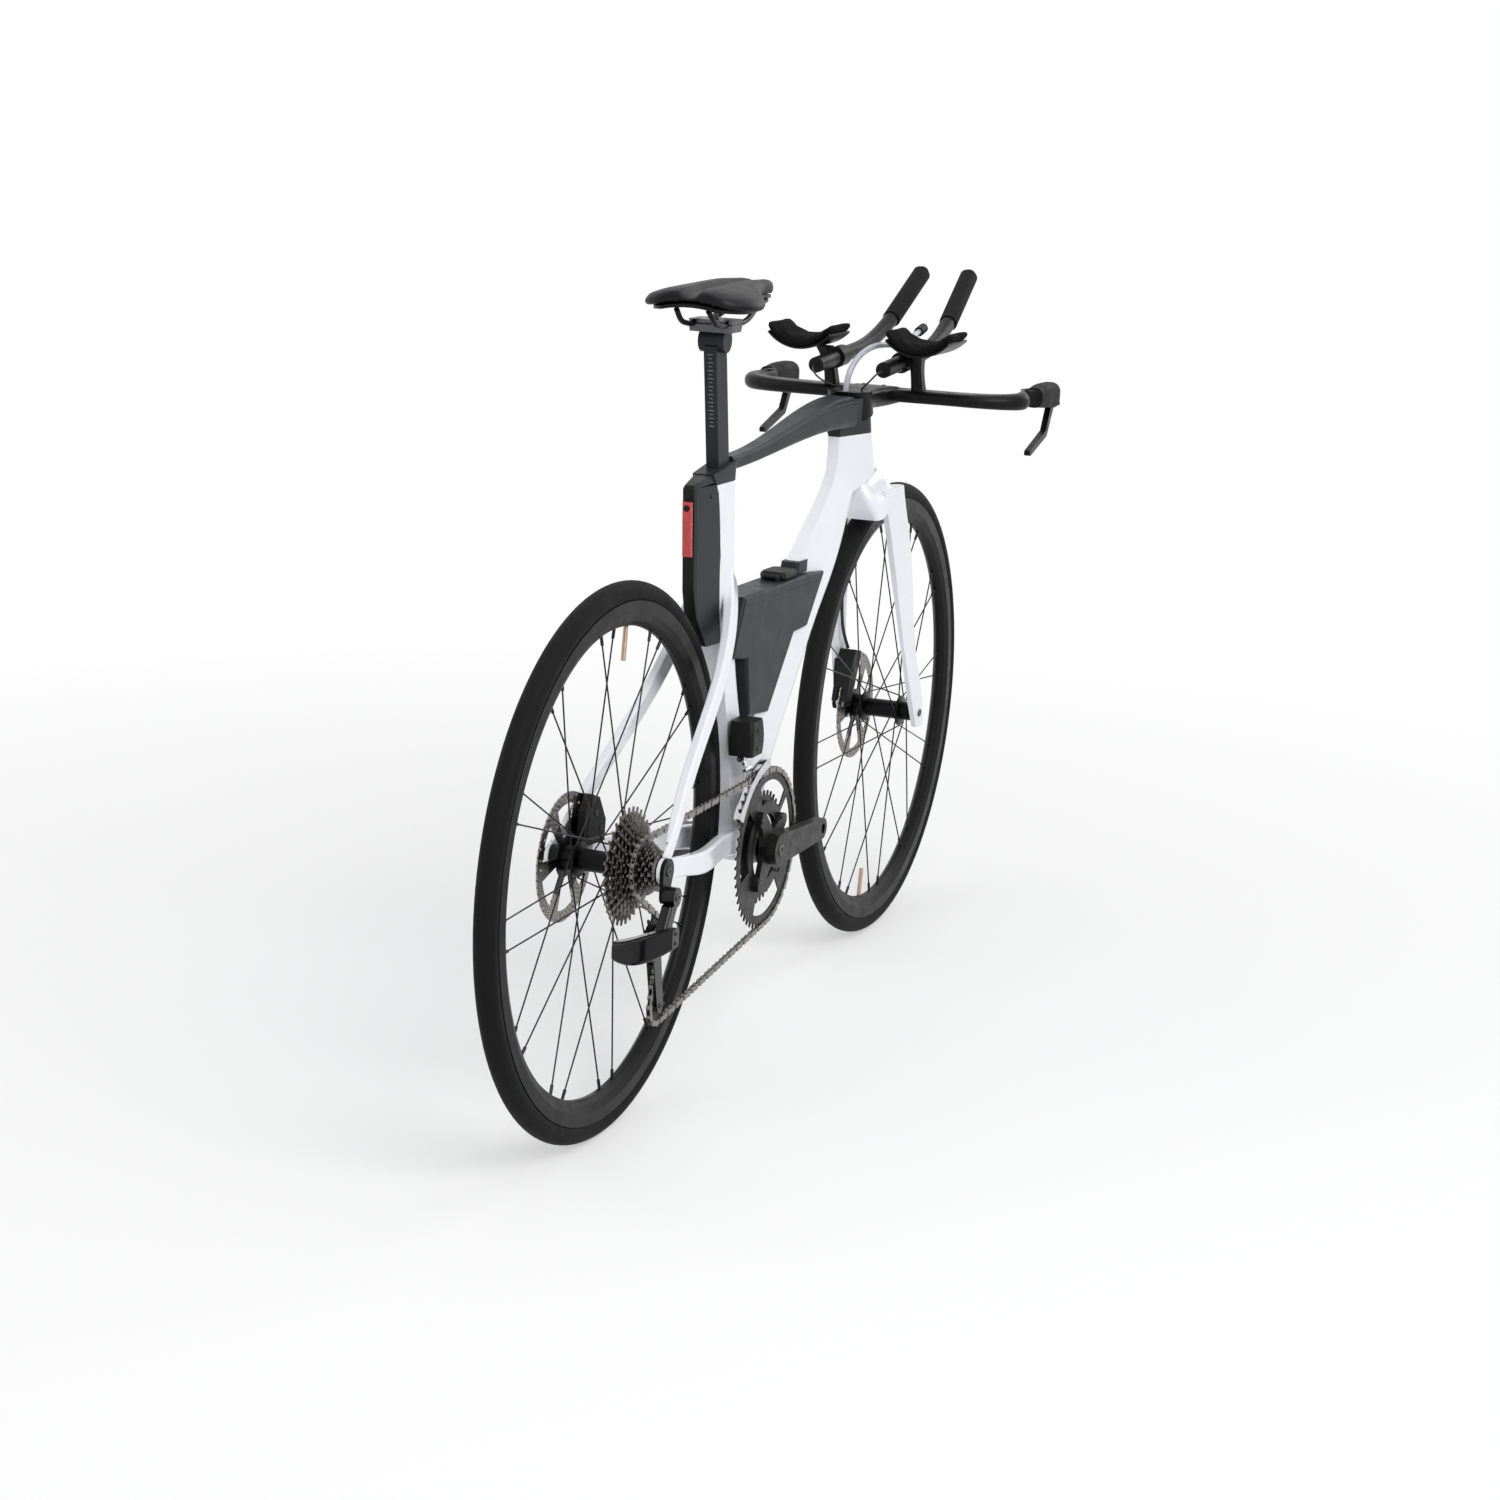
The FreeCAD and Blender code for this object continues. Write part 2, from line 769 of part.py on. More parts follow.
def wheels():
    tyre("rear_tyre", REAR)
    tyre("front_tyre", FRONT)
    rim("rear_rim", REAR, 83)
    rim("front_rim", FRONT, -100)
    end = "seat_gap * 3"
    hub("rear_hub", REAR, f"rear_width / 2 - {end}", "hub_drive_end", "rear_flange_left",
        "rear_flange_right", "rear_rotor_offset", "hub_drive_end")
    hub("front_hub", FRONT, f"front_width / 2 - {end}", f"front_width / 2 - {end}", "front_flange_left",
        "front_flange_right", "front_rotor_offset", f"front_width / 2 - {end}")
    spokes("rear_spokes", REAR, size("rear_flange_left"), size("rear_flange_right"))
    spokes("front_spokes", FRONT, size("front_flange_left"), size("front_flange_right"))
    rotor("rear_rotor", REAR, size("rear_rotor_offset"))
    rotor("front_rotor", FRONT, size("front_rotor_offset"))
    rear_reach = "rear_width / 2 + dropout_thickness + hanger_thickness + hanger_gap + seat_gap"
    thru_axle("rear_thru_axle", REAR, rear_reach, "rear_width / 2 + dropout_thickness + 3 * seat_gap")
    thru_axle("front_thru_axle", FRONT, "front_width / 2 + 14", "front_width / 2 + 16 + 2 * seat_gap")


# Frame

# Heights above the bottom bracket, with the nose and tail of the section from the bracket
SEAT_TUBE = [
    (496, -71.6, -140.6, 17, 16),
    (371, -60.6, -118.6, 17, 16),
    (271, -46.6, -100.6, 17, 16),
    (178, -20.6, -74.6, 19, 16),
    (71, 15.4, -56.6, 24, 18),
    (16, 27.4, -40.6, 28, 20),
]
# Storage box: height, front, rear, half width at the front and at the rear
STORAGE_BOX = [
    (497, -136, -195.6, 16, 7.5),
    (368, -113, -185.6, 16, 7.5),
    (331, -107, -174, 16, 8),
    (290, -99, -139, 15.5, 9),
]
# Down tube from the bracket: rear edge, front edge, half nose and half tail
DOWN_TUBE = [
    ((-29, 61), (51, -7), 27, 20),
    ((21, 161), (101, 105), 23, 16),
    ((81, 251), (181, 192), 22, 13),
    ((151, 321), (256, 272), 22, 11),
    ((241, 389), (339, 359), 22, 9),
    ((306, 437), (372, 413), 22, 8),
    ((331, 476), (410, 452), 20, 7),
]
# Reservoir side view from the bracket
RESERVOIR = [
    (-45.6, 340.5), (211.4, 336), (254.4, 332), (192.4, 264.3), (141.4, 263.3),
    (55.4, 170.3), (-18.6, 178.3), (-31.6, 256.3), (-85.6, 266.3),
]
# Seat stay: share of the way to the dropout, drop, distance from the centre plane, chord, half width
SEAT_STAY = [
    (0, -8, 9, 34, 7),
    (0.0915, -15, 24, 30, 7.5),
    (0.213, -30, 36, 27, 6.5),
    (0.585, -20, 52, 22, 6),
    (0.884, -6, 67, 19, 5),
    (1, 0, 73.5, 18, 2.2),
]
# Chain stay: share of the way, lift, distance from the centre plane, half height, half width
CHAIN_STAY = [
    (0, 0, 24, 19, 8),
    (0.138, 3, 28, 17, 8),
    (0.278, 4, 34, 15.5, 7.5),
    (0.52, 0, 53, 15.5, 7),
    (0.826, 0, 70, 13, 5.5),
    (1, 0, 73.5, 14, 2.2),
]


# Height above the ground that the post's socket is cut to
POST_MOUTH = 815


def post_point(height, forward=0):
    """A point on the seatpost's tail line, at a height above the ground of the bare frame."""
    rise = height - 780
    return at_bracket(-118.6 - 0.158 * rise, 511.3 + rise) + X * forward


def post_section(height, grow):
    """The post's section at a height, or the socket's, grown by the gap round the post."""
    return tube_section(post_point(height, size("post_chord") + grow), post_point(height, -grow),
                        size("post_half_nose") + grow, size("post_half_tail") + grow)


def steerer_bore(name):
    """The room for the steerer and its two bearings."""
    low = on_steerer(size("crown_race") - 60)
    high = on_steerer(STEM_BASE - size("headset_height"))
    parts = [
        cylinder(f"{name}_bore", "steerer_radius + 2", "200", low, STEER_UP),
        cylinder(f"{name}_low_seat", "headset_radius + seat_gap", "60 + moving_gap + headset_height",
                 low, STEER_UP),
        cylinder(f"{name}_high_seat", "headset_radius + seat_gap", "60", high, STEER_UP),
    ]
    return joined(f"{name}_bores", parts)


def head_section(height, tail, half_nose, half_tail):
    axis = steerer_at(height)
    return tube_section(axis + X * half_nose, axis - X * tail, half_nose, half_tail)


def head_tube():
    block = feature("head_block", loft([
        head_section(PAINT_LINE, 77.7, 27, 8),
        head_section(CROWN_HEIGHT + 8.2, 97, 28, 8.5),
        head_section(CROWN_HEIGHT - 51.8, 124, 29, 9),
    ]))
    below = doc.addObject("Part::Box", "below_crown")
    bind(below, Length="400", Width="200", Height="300")
    corner = on_steerer(size("crown_race") + size("moving_gap") - 300, -250, -100)
    below.Placement = Placement(corner, Rotation(Z, STEER_UP))
    node("head_tube", cut("head_tube", block, below, steerer_bore("head")))


def top_tube():
    """The dark upper frame: seat cluster, top tube and head top in one moulding."""
    start = at_bracket(-78, 517.3)
    end = steerer_at(STEM_HEIGHT + 10.5) - X * 44.6
    sections = []
    for share, lift, half_width, half_height in (
            (0, -1, 12, 9), (0.386, -1.5, 15, 11), (0.69, 4, 20, 16.5), (1, -2, 25, 22)):
        centre = start + (end - start) * share + Z * lift
        sections.append(round_section(centre, Y, Z, half_width, half_height, 0.4 * half_width))
    beam = feature("top_beam", loft(sections))
    head_top = feature("head_top", loft([
        head_section(PAINT_LINE + size("seat_gap") / 10, 77.7, 27, 8),
        head_section(PAINT_LINE + 52, 74, 28, 20),
    ]))
    cluster = feature("seat_cluster", loft([
        tube_section(at_bracket(-66, 521), at_bracket(-150, 510), 17, 14),
        tube_section(at_bracket(-69, 496.1), at_bracket(-141, 496.1), 17.5, 16),
    ]))
    socket = feature("post_socket", loft([post_section(POST_MOUTH - 70, size("post_gap")),
                                          post_section(POST_MOUTH, size("post_gap"))]))
    stem_room = cylinder("stem_room", "stem_radius + stem_gap", "90",
                         on_steerer(STEM_BASE), STEER_UP)
    whole = joined("upper_frame", [beam, head_top, cluster])
    screw_well = cylinder("screw_well", "wedge_screw_radius + seat_gap", "40", wedge_point(), Z)
    node("top_tube", cut("top_tube", whole, socket, stem_room, screw_well, steerer_bore("top")))


def wedge_point():
    """The floor of the hole for the seatpost wedge's screw, in front of the post."""
    return post_point(778, size("post_chord") + size("post_gap") + 5)


def seat_tube():
    sections = []
    for height, nose, tail, half_nose, half_tail in SEAT_TUBE:
        sections.append(tube_section(at_bracket(nose, height), at_bracket(tail, height),
                                     half_nose, half_tail))
    blade = feature("seat_blade", loft(sections))
    half = size("shell_width") / 2
    shell = cylinder("bracket_shell", "shell_radius", "shell_width", BRACKET - Y * half)
    bore = cylinder("bracket_bore", "shell_bore", "shell_width * 2", BRACKET - Y * 2 * half)
    floor = POST_MOUTH - size("post_insert") - 13
    socket = feature("seat_socket", loft([post_section(floor, size("post_gap")),
                                          post_section(POST_MOUTH, size("post_gap"))]))
    return node("seat_tube", cut("seat_tube", joined("seat_whole", [blade, shell]), bore, socket))


def down_tube():
    sections = []
    for rear, front, half_nose, half_tail in DOWN_TUBE:
        sections.append(tube_section(at_bracket(*front), at_bracket(*rear), half_nose, half_tail))
    blade = feature("down_blade", loft(sections))
    room = cylinder("steerer_room", "headset_radius + 9", "300",
                    on_steerer(size("crown_race") - 150), STEER_UP)
    node("down_tube", cut("down_tube", blade, doc.getObject("head_block"), doc.getObject("seat_blade"),
                          room, bracket_room()))


def bracket_room():
    """The clear bore through the bottom bracket."""
    return cylinder("bracket_room", "shell_radius", "200", BRACKET - Y * 100)


def seat_stays():
    start = at_bracket(-68.6, 381.3)
    end = at_rear(6, 11)
    sections = []
    for share, drop, away, chord, half_width in SEAT_STAY:
        centre = start + (end - start) * share + Z * drop + Y * away
        across = (end - start).cross(Y)
        across.normalize()
        sections.append(round_section(centre, across, Y, chord / 2, half_width, 0.45 * half_width))
    blade = feature("stay_blade", loft(sections))
    dropout = cylinder("dropout_room", "dropout_radius + seat_gap", "60",
                       REAR + Y * (size("rear_width") / 2 - 20))
    left = cut("seat_stay", blade, doc.getObject("seat_blade"), dropout, rear_hub_space("stay_hub_space"))
    node("seat_stays", both_sides("seat_stays", left))
    return left


def rear_hub_space(name):
    """The room between the dropouts for the hub and the smallest cogs."""
    return cylinder(name, "36", "rear_width", REAR - Y * (size("rear_width") / 2))


def chain_stays(seat_stay):
    start = at_bracket(-4, 7)
    end = at_rear(13, -2)
    sections = []
    for share, lift, away, half_height, half_width in CHAIN_STAY:
        centre = start + (end - start) * share + Z * lift + Y * away
        sections.append(round_section(centre, Y, Z, half_width, half_height, 0.6 * half_width))
    blade = feature("chain_blade", loft(sections))
    inner = REAR + Y * (size("rear_width") / 2)
    disc = cylinder("dropout_disc", "dropout_radius", "dropout_thickness", inner)
    hub_room = cylinder("hub_room", "dropout_radius + 3", "40", inner - Y * 40)
    bore = cylinder("axle_bore", "axle_diameter / 2 + running_gap", "60", inner - Y * 30)
    whole = joined("chain_stay_whole", [cut("chain_blade_end", blade, hub_room), disc])
    seat_room = cylinder("bracket_core", "shell_radius", "shell_width + 2",
                         BRACKET - Y * (size("shell_width") / 2 + 1))
    left = cut("chain_stay", whole, doc.getObject("seat_blade"), seat_room, doc.getObject("down_blade"),
               bore, rear_hub_space("chain_hub_space"), seat_stay)
    node("chain_stays", both_sides("chain_stays", left))


def hanger():
    top = REAR - Y * (size("rear_width") / 2 + size("dropout_thickness") + size("hanger_gap"))
    low = top + point(-6, 0, -28)
    node("derailleur_hanger", link("derailleur_hanger", top, low, "dropout_radius", "10",
                                   "hanger_thickness", ("axle_diameter / 2 + running_gap", None)))


def frame_bearings():
    """Bottom bracket cups and headset bearings."""
    half = "shell_width / 2"
    pieces = []
    for side, name in ((1, "left"), (-1, "right")):
        low = f"{half} + seat_gap" if side > 0 else f"-({half} + cup_width)"
        high = f"{half} + cup_width" if side > 0 else f"-({half} + seat_gap)"
        pieces.append(ring(f"cup_{name}", "spindle_radius + running_gap", "cup_radius", low, high, BRACKET))
    for name, place in (("low", size("crown_race") + size("moving_gap")),
                        ("high", STEM_BASE - size("headset_height"))):
        race = ring(f"headset_{name}", "steerer_radius + running_gap", "headset_radius",
                    "0", "headset_height - seat_gap", point(0, 0, 0))
        race.Placement = Placement(on_steerer(place), Rotation(Y, STEER_UP))
        pieces.append(race)
    node("frame_bearings", grouped("frame_bearings", pieces))


def reservoir():
    """The drink reservoir in the frame's lower corner, with its fill port, lid hinge and collar."""
    body = doc.addObject("PartDesign::Body", "reservoir_block")
    sketch = new_sketch(body, "reservoir_outline", "XZ_Plane")
    add_outline(sketch, [(f"{reached(x)}", f"{z}") for x, z in RESERVOIR])
    pad = padded_sketch(body, sketch, "reservoir_width", "reservoir_pad")
    doc.recompute()
    edges = [f"Edge{index}" for index, edge in enumerate(pad.Shape.Edges, start=1)
             if edge.BoundBox.YLength < 1]
    fillet = body.newObject("PartDesign::Fillet", "reservoir_soft_edges")
    fillet.Base = (pad, edges)
    bind(fillet, Radius="reservoir_round")
    body.Placement = Placement(BRACKET + Y * (size("reservoir_width") / 2), Rotation())
    collar = feature("reservoir_collar", loft([
        round_section(at_bracket(192, 337.2), X, Y, 20, 14, 5),
        round_section(at_bracket(196, 353), X, Y, 20, 13, 5)]))
    hinge = lid_hinge_point()
    ears = hinge_ears("lid_hinge", hinge, hinge - Z * 11, Y, 3.6, 8, 4)
    port = cylinder("fill_port", "fill_port_radius", "fill_port_depth + 20", lid_point() + Z * 20, -Z)
    tank = cut("tank", joined("tank_whole", [body] + ears), doc.getObject("down_blade"),
               doc.getObject("seat_blade"), port)
    sleeve = cut("collar", collar, doc.getObject("down_blade"))
    node("drink_reservoir", grouped("drink_reservoir", [tank, sleeve]))


def lid_slope():
    """The direction of the reservoir's top, forward."""
    slope = at_bracket(*RESERVOIR[1]) - at_bracket(*RESERVOIR[0])
    slope.normalize()
    return slope


def lid_point():
    """The middle of the reservoir's top, under its lid."""
    rear, front = [at_bracket(*corner) for corner in RESERVOIR[:2]]
    return rear + (front - rear) * 0.7065


def lid_hinge_point():
    """The middle of the lid's hinge pin, behind the lid."""
    return lid_point() - lid_slope() * (size("lid_length") / 2 + 4.6) + Z * 5


def reservoir_lid():
    """A soft lid over the fill port, with a plug that reaches into it and a hinge barrel behind."""
    base = lid_point() + Z * (3 * size("seat_gap"))
    half_length = size("lid_length") / 2
    half_width = size("lid_width") / 2
    levels = []
    for share, inset in ((0, 1.5), (0.5, 0), (1, 3)):
        centre = base + Z * (share * size("lid_height"))
        levels.append(round_section(centre, lid_slope(), Y, half_length - inset, half_width - inset, 8))
    cap = feature("lid_cap", loft(levels))
    plug = cylinder("lid_plug", "fill_port_radius - 3", "8", base + Z * 2, -Z)
    hinge = lid_hinge_point()
    barrel = hinge_barrel("lid", hinge, hinge + X * 9, Y, 3.6, 8)
    whole = joined("lid_whole", [cap, plug] + barrel)
    node("reservoir_lid", cut("reservoir_lid", whole, pin_bore("lid_bore", hinge, Y, 8)))


def storage_box():
    levels = []
    for height, front, rear, half_front, half_rear in STORAGE_BOX:
        levels.append(polygon([
            at_bracket(front, height, -half_front), at_bracket(front, height, half_front),
            at_bracket(rear, height, half_rear), at_bracket(rear, height, -half_rear)]))
    case = feature("box_case", loft(levels, True))
    top = feature("box_top", loft([
        polygon([at_bracket(-138, 500, -15), at_bracket(-138, 500, 15),
                 at_bracket(-195.6, 496.9, 7.5), at_bracket(-195.6, 496.9, -7.5)]),
        polygon([at_bracket(-140, 511, -12), at_bracket(-140, 511, 12),
                 at_bracket(-193, 501, 6), at_bracket(-193, 501, -6)])], True))
    hollow = feature("box_hollow", loft([
        polygon([at_bracket(-152, 480, -10), at_bracket(-152, 480, 10),
                 at_bracket(-188, 480, 4), at_bracket(-188, 480, -4)]),
        polygon([at_bracket(-128, 380, -10), at_bracket(-128, 380, 10),
                 at_bracket(-180, 380, 4), at_bracket(-180, 380, -4)])], True))
    whole = joined("box_whole", [case, top])
    node("storage_box", cut("storage_box", whole, hollow, doc.getObject("seat_blade"),
                            doc.getObject("seat_cluster")))


def tail_light():
    """A lens on the storage box's narrow rear face, with its button near the top."""
    levels = []
    for height, grow in ((481, 0), (412, 0)):
        rear = -195.6 + (497 - height) * (10 / 129) - size("seat_gap")
        levels.append(round_section(at_bracket(rear - 3, height), X, Y, 3, 6.5 + grow, 2.5))
    lens = feature("lens", loft(levels))
    spot = at_bracket(-195.6 + 1.86 - size("seat_gap") - 6, 473)
    well = cylinder("button_well", "4.2", "8", spot - X * 5, X)
    node("tail_light", cut("tail_light", lens, well))
    node("light_button", cylinder("light_button", "3.9", "2", spot - X * 1, X))


# Seatpost and saddle

def seatpost():
    top = size("saddle_height") - 79
    low = POST_MOUTH - size("post_insert")
    blade = feature("post_blade", loft([post_section(low, 0), post_section(low + 0.6 * (top - low), 0),
                                        post_section(top, 0)]))
    crown = saddle_clamp_point()
    head = cylinder("post_head", "15", "34", crown - Y * 17)
    node("seatpost", joined("seatpost", [blade, head]))


def saddle_clamp_point():
    """The axis of the post head that the rail clamp turns on."""
    return post_point(size("saddle_height") - 72, 17)


def saddle_place(forward, up, y=0):
    """A point measured from the saddle's rear end, below its top."""
    centre = saddle_clamp_point()
    return point(centre.x - 91 + forward, y, size("saddle_height") + up)


# Saddle plan: share of the length, half width as a share between nose and full width, drop of the top,
# depth of the edge
SADDLE_PLAN = [
    (0, 0.42, 9, 7), (0.05, 0.74, 5, 8), (0.18, 1, 3, 8), (0.36, 0.84, 2, 9), (0.5, 0.5, 1, 10),
    (0.63, 0.26, 1, 11), (0.8, 0.08, 3, 12), (0.95, -0.05, 7, 11), (1, -0.2, 14, 6),
]
# The underside: half its width as a share of the saddle's, its rise as a share of the droop
SADDLE_BASE = 0.88
SADDLE_RISE = 0.6
SHELL_SHARE = 0.82


def saddle_half_width(share):
    nose = size("saddle_nose_width") / 2
    return nose + share * (size("saddle_width") / 2 - nose)


def saddle_fall(half):
    """How far the sides of a saddle section hang below its middle."""
    return 2 + size("saddle_droop") * max(0, half / (size("saddle_width") / 2) - 0.3)


def padding_section(forward, half, top, edge):
    """A saddle section: two crowns with a channel between them, over an arched underside."""
    channel = min(size("channel_width") / 2, 0.45 * half)
    dip = size("channel_depth") * channel / (size("channel_width") / 2)
    droop = saddle_fall(half)
    shoulder = 0.8 * half
    shoulder_top = top - 0.62 * droop
    side_top = top - droop - 3
    bottom = side_top - edge

    def place(y, z):
        return saddle_place(forward, z, y)

    def flank(sign):
        return [
            arc(place(sign * SADDLE_BASE * half, bottom),
                place(sign * half, 0.55 * side_top + 0.45 * bottom), place(sign * 0.97 * half, side_top)),
            arc(place(sign * 0.97 * half, side_top),
                place(sign * 0.91 * half, shoulder_top - 0.2 * droop - 0.5),
                place(sign * shoulder, shoulder_top)),
            arc(place(sign * shoulder, shoulder_top),
                place(sign * (shoulder + channel) / 2, 0.4 * shoulder_top + 0.6 * top + 1.2),
                place(sign * channel, top - 0.6)),
        ]

    valley = arc(place(channel, top - 0.6), place(0, top - dip), place(-channel, top - 0.6))
    base = arc(place(-SADDLE_BASE * half, bottom), place(0, bottom + SADDLE_RISE * droop),
               place(SADDLE_BASE * half, bottom))
    return Part.Wire([base] + flank(1) + [valley] + flank(-1)[::-1])


def shell_section(forward, half, top, edge):
    """An arched strip just below the padding's underside."""
    droop = saddle_fall(half)
    rise = SADDLE_RISE * droop
    radius = ((SADDLE_BASE * half) ** 2 + rise ** 2) / (2 * rise)
    side = SHELL_SHARE * half
    middle = top - droop - 3 - edge + rise - 4 * size("seat_gap")
    corner = middle - radius + math.sqrt(radius ** 2 - side ** 2)

    def place(y, z):
        return saddle_place(forward, z, y)

    deep = size("saddle_shell")
    return Part.Wire([
        arc(place(-side, corner), place(0, middle), place(side, corner)),
        line(place(side, corner), place(side, corner - deep)),
        arc(place(side, corner - deep), place(0, middle - deep), place(-side, corner - deep)),
        line(place(-side, corner - deep), place(-side, corner))])


def underside(shape, place):
    """The height of a piece's lowest face at a place in plan, from the saddle's top."""
    upright = line(point(place.x, place.y, 0), point(place.x, place.y, 2 * size("saddle_height")))
    return min(vertex.Z for vertex in shape.common(upright).Vertexes) - size("saddle_height")


def saddle():
    length = size("saddle_length")
    pads = []
    base = []
    for share, wide, drop, edge in SADDLE_PLAN:
        half = saddle_half_width(wide)
        pads.append(padding_section(share * length, half, -drop, edge))
        base.append(shell_section(share * length, half, -drop, edge))
    node("saddle_padding", feature("saddle_padding", loft(pads)))
    shell = feature("shell_blade", loft(base))
    node("saddle_shell", shell)
    saddle_rails(shell.Shape)
    saddle_clamp()


def saddle_rails(shell):
    """Two bent rails from the nose of the shell to its rear."""
    half = size("rail_spread") / 2
    clear = size("rail_diameter") / 2 + 4 * size("seat_gap")
    rear = underside(shell, saddle_place(14, 0, half - 1)) - clear
    front = underside(shell, saddle_place(228, 0, half - 9)) - clear
    clamp_level = saddle_clamp_point().z + 20.5 - size("saddle_height")
    route = [(14, rear, half - 1), (32, clamp_level + 5, half), (60, clamp_level, half),
             (140, clamp_level, half), (190, front - 4, half - 5), (228, front, half - 9)]
    points = [saddle_place(forward, up, y) for forward, up, y in route]
    rail = feature("rail", cord("saddle rail", points, size("rail_diameter")))
    node("saddle_rails", both_sides("saddle_rails", rail))


def saddle_clamp():
    """A cradle on the post head, an upper plate over each rail and the bolt through them."""
    centre = saddle_clamp_point()
    level = centre.z + 20.5
    half = size("rail_spread") / 2
    head_room = cylinder("clamp_head_room", "15 + seat_gap", "36", centre - Y * 18)
    pieces = []
    for name, low, high in (("lower", level - 9.5, level - size("seat_gap") / 2),
                            ("upper", level + size("seat_gap") / 2, level + 6)):
        block = feature(f"clamp_{name}_block", loft([
            round_section(point(centre.x, 0, low), X, Y, 19, half + 6, 4),
            round_section(point(centre.x, 0, high), X, Y, 21, half + 7, 4)]))
        rails = [cylinder(f"clamp_{name}_rail_{side}", "rail_diameter / 2 + seat_gap / 2", "90",
                          point(centre.x - 45, side * half, level), X) for side in (1, -1)]
        pieces.append(cut(f"clamp_{name}", block, head_room, *rails))
    pieces.append(cylinder("clamp_bolt", "3.5", "11", point(centre.x, 0, level + 6), Z))
    node("saddle_clamp", grouped("saddle_clamp", pieces))


def wedge_screw():
    screw = cylinder("wedge_screw", "wedge_screw_radius", "11", wedge_point(), Z)
    node("seatpost_wedge_screw", screw)


def frame():
    head_tube()
    top_tube()
    seat_tube()
    down_tube()
    chain_stays(seat_stays())
    hanger()
    frame_bearings()
    reservoir()
    reservoir_lid()
    storage_box()
    tail_light()
    seatpost()
    wedge_screw()
    saddle()


# Drive

CHAIN_Y = -size("chain_plane")
CRANK_TURN = -size("crank_drop")


def crank_end(side):
    """The pedal axis of one crank arm, at its outer face."""
    towards = turned(point(size("crank_length"), 0, 0), -CRANK_TURN)
    outer = size("crank_inner_face") + size("crank_thickness")
    return BRACKET - towards * side + Y * (side * outer)


def cranks():
    inner = size("crank_inner_face")
    outer = inner + size("crank_thickness")
    right = link("right_arm", BRACKET - Y * inner, crank_end(-1) + Y * size("crank_thickness"),
                 "crank_boss_radius", "crank_end_radius", "crank_thickness", (None, "pedal_thread_radius"))
    ring_face = size("chain_plane") + size("ring_thickness") / 2 + size("seat_gap")
    depth = inner - size("seat_gap") - ring_face
    boss = cylinder("right_boss", "crank_boss_radius + 5", f"{depth}", BRACKET - Y * (ring_face + depth))
    arms = [link(f"spider_{i}", BRACKET - Y * ring_face,
                 BRACKET - Y * ring_face
                 + turned(point(size("bolt_circle"), 0, 0), -(angle + CRANK_TURN)),
                 "crank_boss_radius", "9", f"{depth}")
            for i, angle in enumerate((35, 125, 235, 325))]
    spider = joined("spider", [boss] + arms)
    start = ring_face - size("seat_gap")
    spindle = cylinder("spindle", "spindle_radius", f"{start + inner} - seat_gap", BRACKET - Y * start)
    left_arm = link("left_arm", BRACKET + Y * outer, crank_end(1), "crank_boss_radius", "crank_end_radius",
                    "crank_thickness", (None, "pedal_thread_radius"))
    cup_end = size("shell_width") / 2 + size("cup_width") + 1
    collar = ring("left_boss", "spindle_radius + seat_gap", "crank_boss_radius - 5", f"{cup_end}",
                  f"{inner} - seat_gap", BRACKET)
    node("crank_arms", grouped("crank_arms", [right, spider, spindle, left_arm, collar]))


def chainrings():
    plane = BRACKET + Y * CHAIN_Y
    inner_plane = plane + Y * size("ring_spacing")
    big_radius = pitch_radius_of(int(size("ring_teeth")))
    hole = size("bolt_circle") - 9
    windows = []
    for angle in (35, 125, 235, 325):
        start = angle + CRANK_TURN + 14
        windows.append(ring_window(plane, size("bolt_circle") + 8, big_radius - 14, start, start + 62))
    teeth = int(size("ring_teeth"))
    big = flat_solid(toothed_outline(teeth, plane, RING_PHASE), windows + [circle_wire(plane, hole)],
                     size("ring_thickness"))
    small = flat_solid(toothed_outline(int(size("inner_ring_teeth")), inner_plane, 0),
                       [circle_wire(inner_plane, hole)], size("ring_thickness"))
    pieces = [feature("big_ring", big), feature("small_ring", small)]
    low = CHAIN_Y + size("ring_thickness") / 2 + size("seat_gap")
    gap = size("ring_spacing") - size("ring_thickness") - 2 * size("seat_gap")
    for i, angle in enumerate((35, 125, 235, 325)):
        towards = turned(point(size("bolt_circle"), 0, 0), -(angle + CRANK_TURN))
        pieces.append(cylinder(f"ring_spacer_{i}", "5", f"{gap}", BRACKET + towards + Y * low))
    node("chainrings", grouped("chainrings", pieces))


def cog_plane(index):
    return -(size("chain_plane") + (DRIVEN_COG - index) * size("cog_pitch"))


def cassette():
    pieces = []
    bore = size("freehub_radius") + size("seat_gap")
    for index, teeth in enumerate(COG_TEETH):
        plane = REAR + Y * cog_plane(index)
        phase = COG_PHASE if index == DRIVEN_COG else 0
        holes = [circle_wire(plane, bore)]
        spare = pitch_radius_of(teeth) - size("freehub_radius") - 22
        if spare > 0:
            middle = size("freehub_radius") + 7 + spare / 2
            holes += [ring_window(plane, middle - spare / 2, middle + spare / 2, a, a + 44)
                      for a in range(0, 360, 60)]
        cog = flat_solid(toothed_outline(teeth, plane, phase), holes, size("cog_thickness"))
        pieces.append(feature(f"cog_{teeth}", cog))
    small_end = -cog_plane(0) + size("cog_thickness") / 2
    sleeve = "axle_diameter / 2 + running_gap"
    pieces.append(ring("freehub", sleeve, "freehub_radius", f"-{small_end}",
                       "-(hub_drive_end + moving_gap)", REAR))
    pieces.append(ring("lockring", sleeve, "freehub_radius + 3", f"-({small_end} + 3)",
                       f"-({small_end} + seat_gap)", REAR))
    node("cassette", grouped("cassette", pieces))


# The chain's loop, all in one plane: big ring, driven cog, guide pulley, tension pulley
GUIDE_PULLEY = at_rear(34, -90)
LINK_COUNT = 112
ARC_STEPS = 96


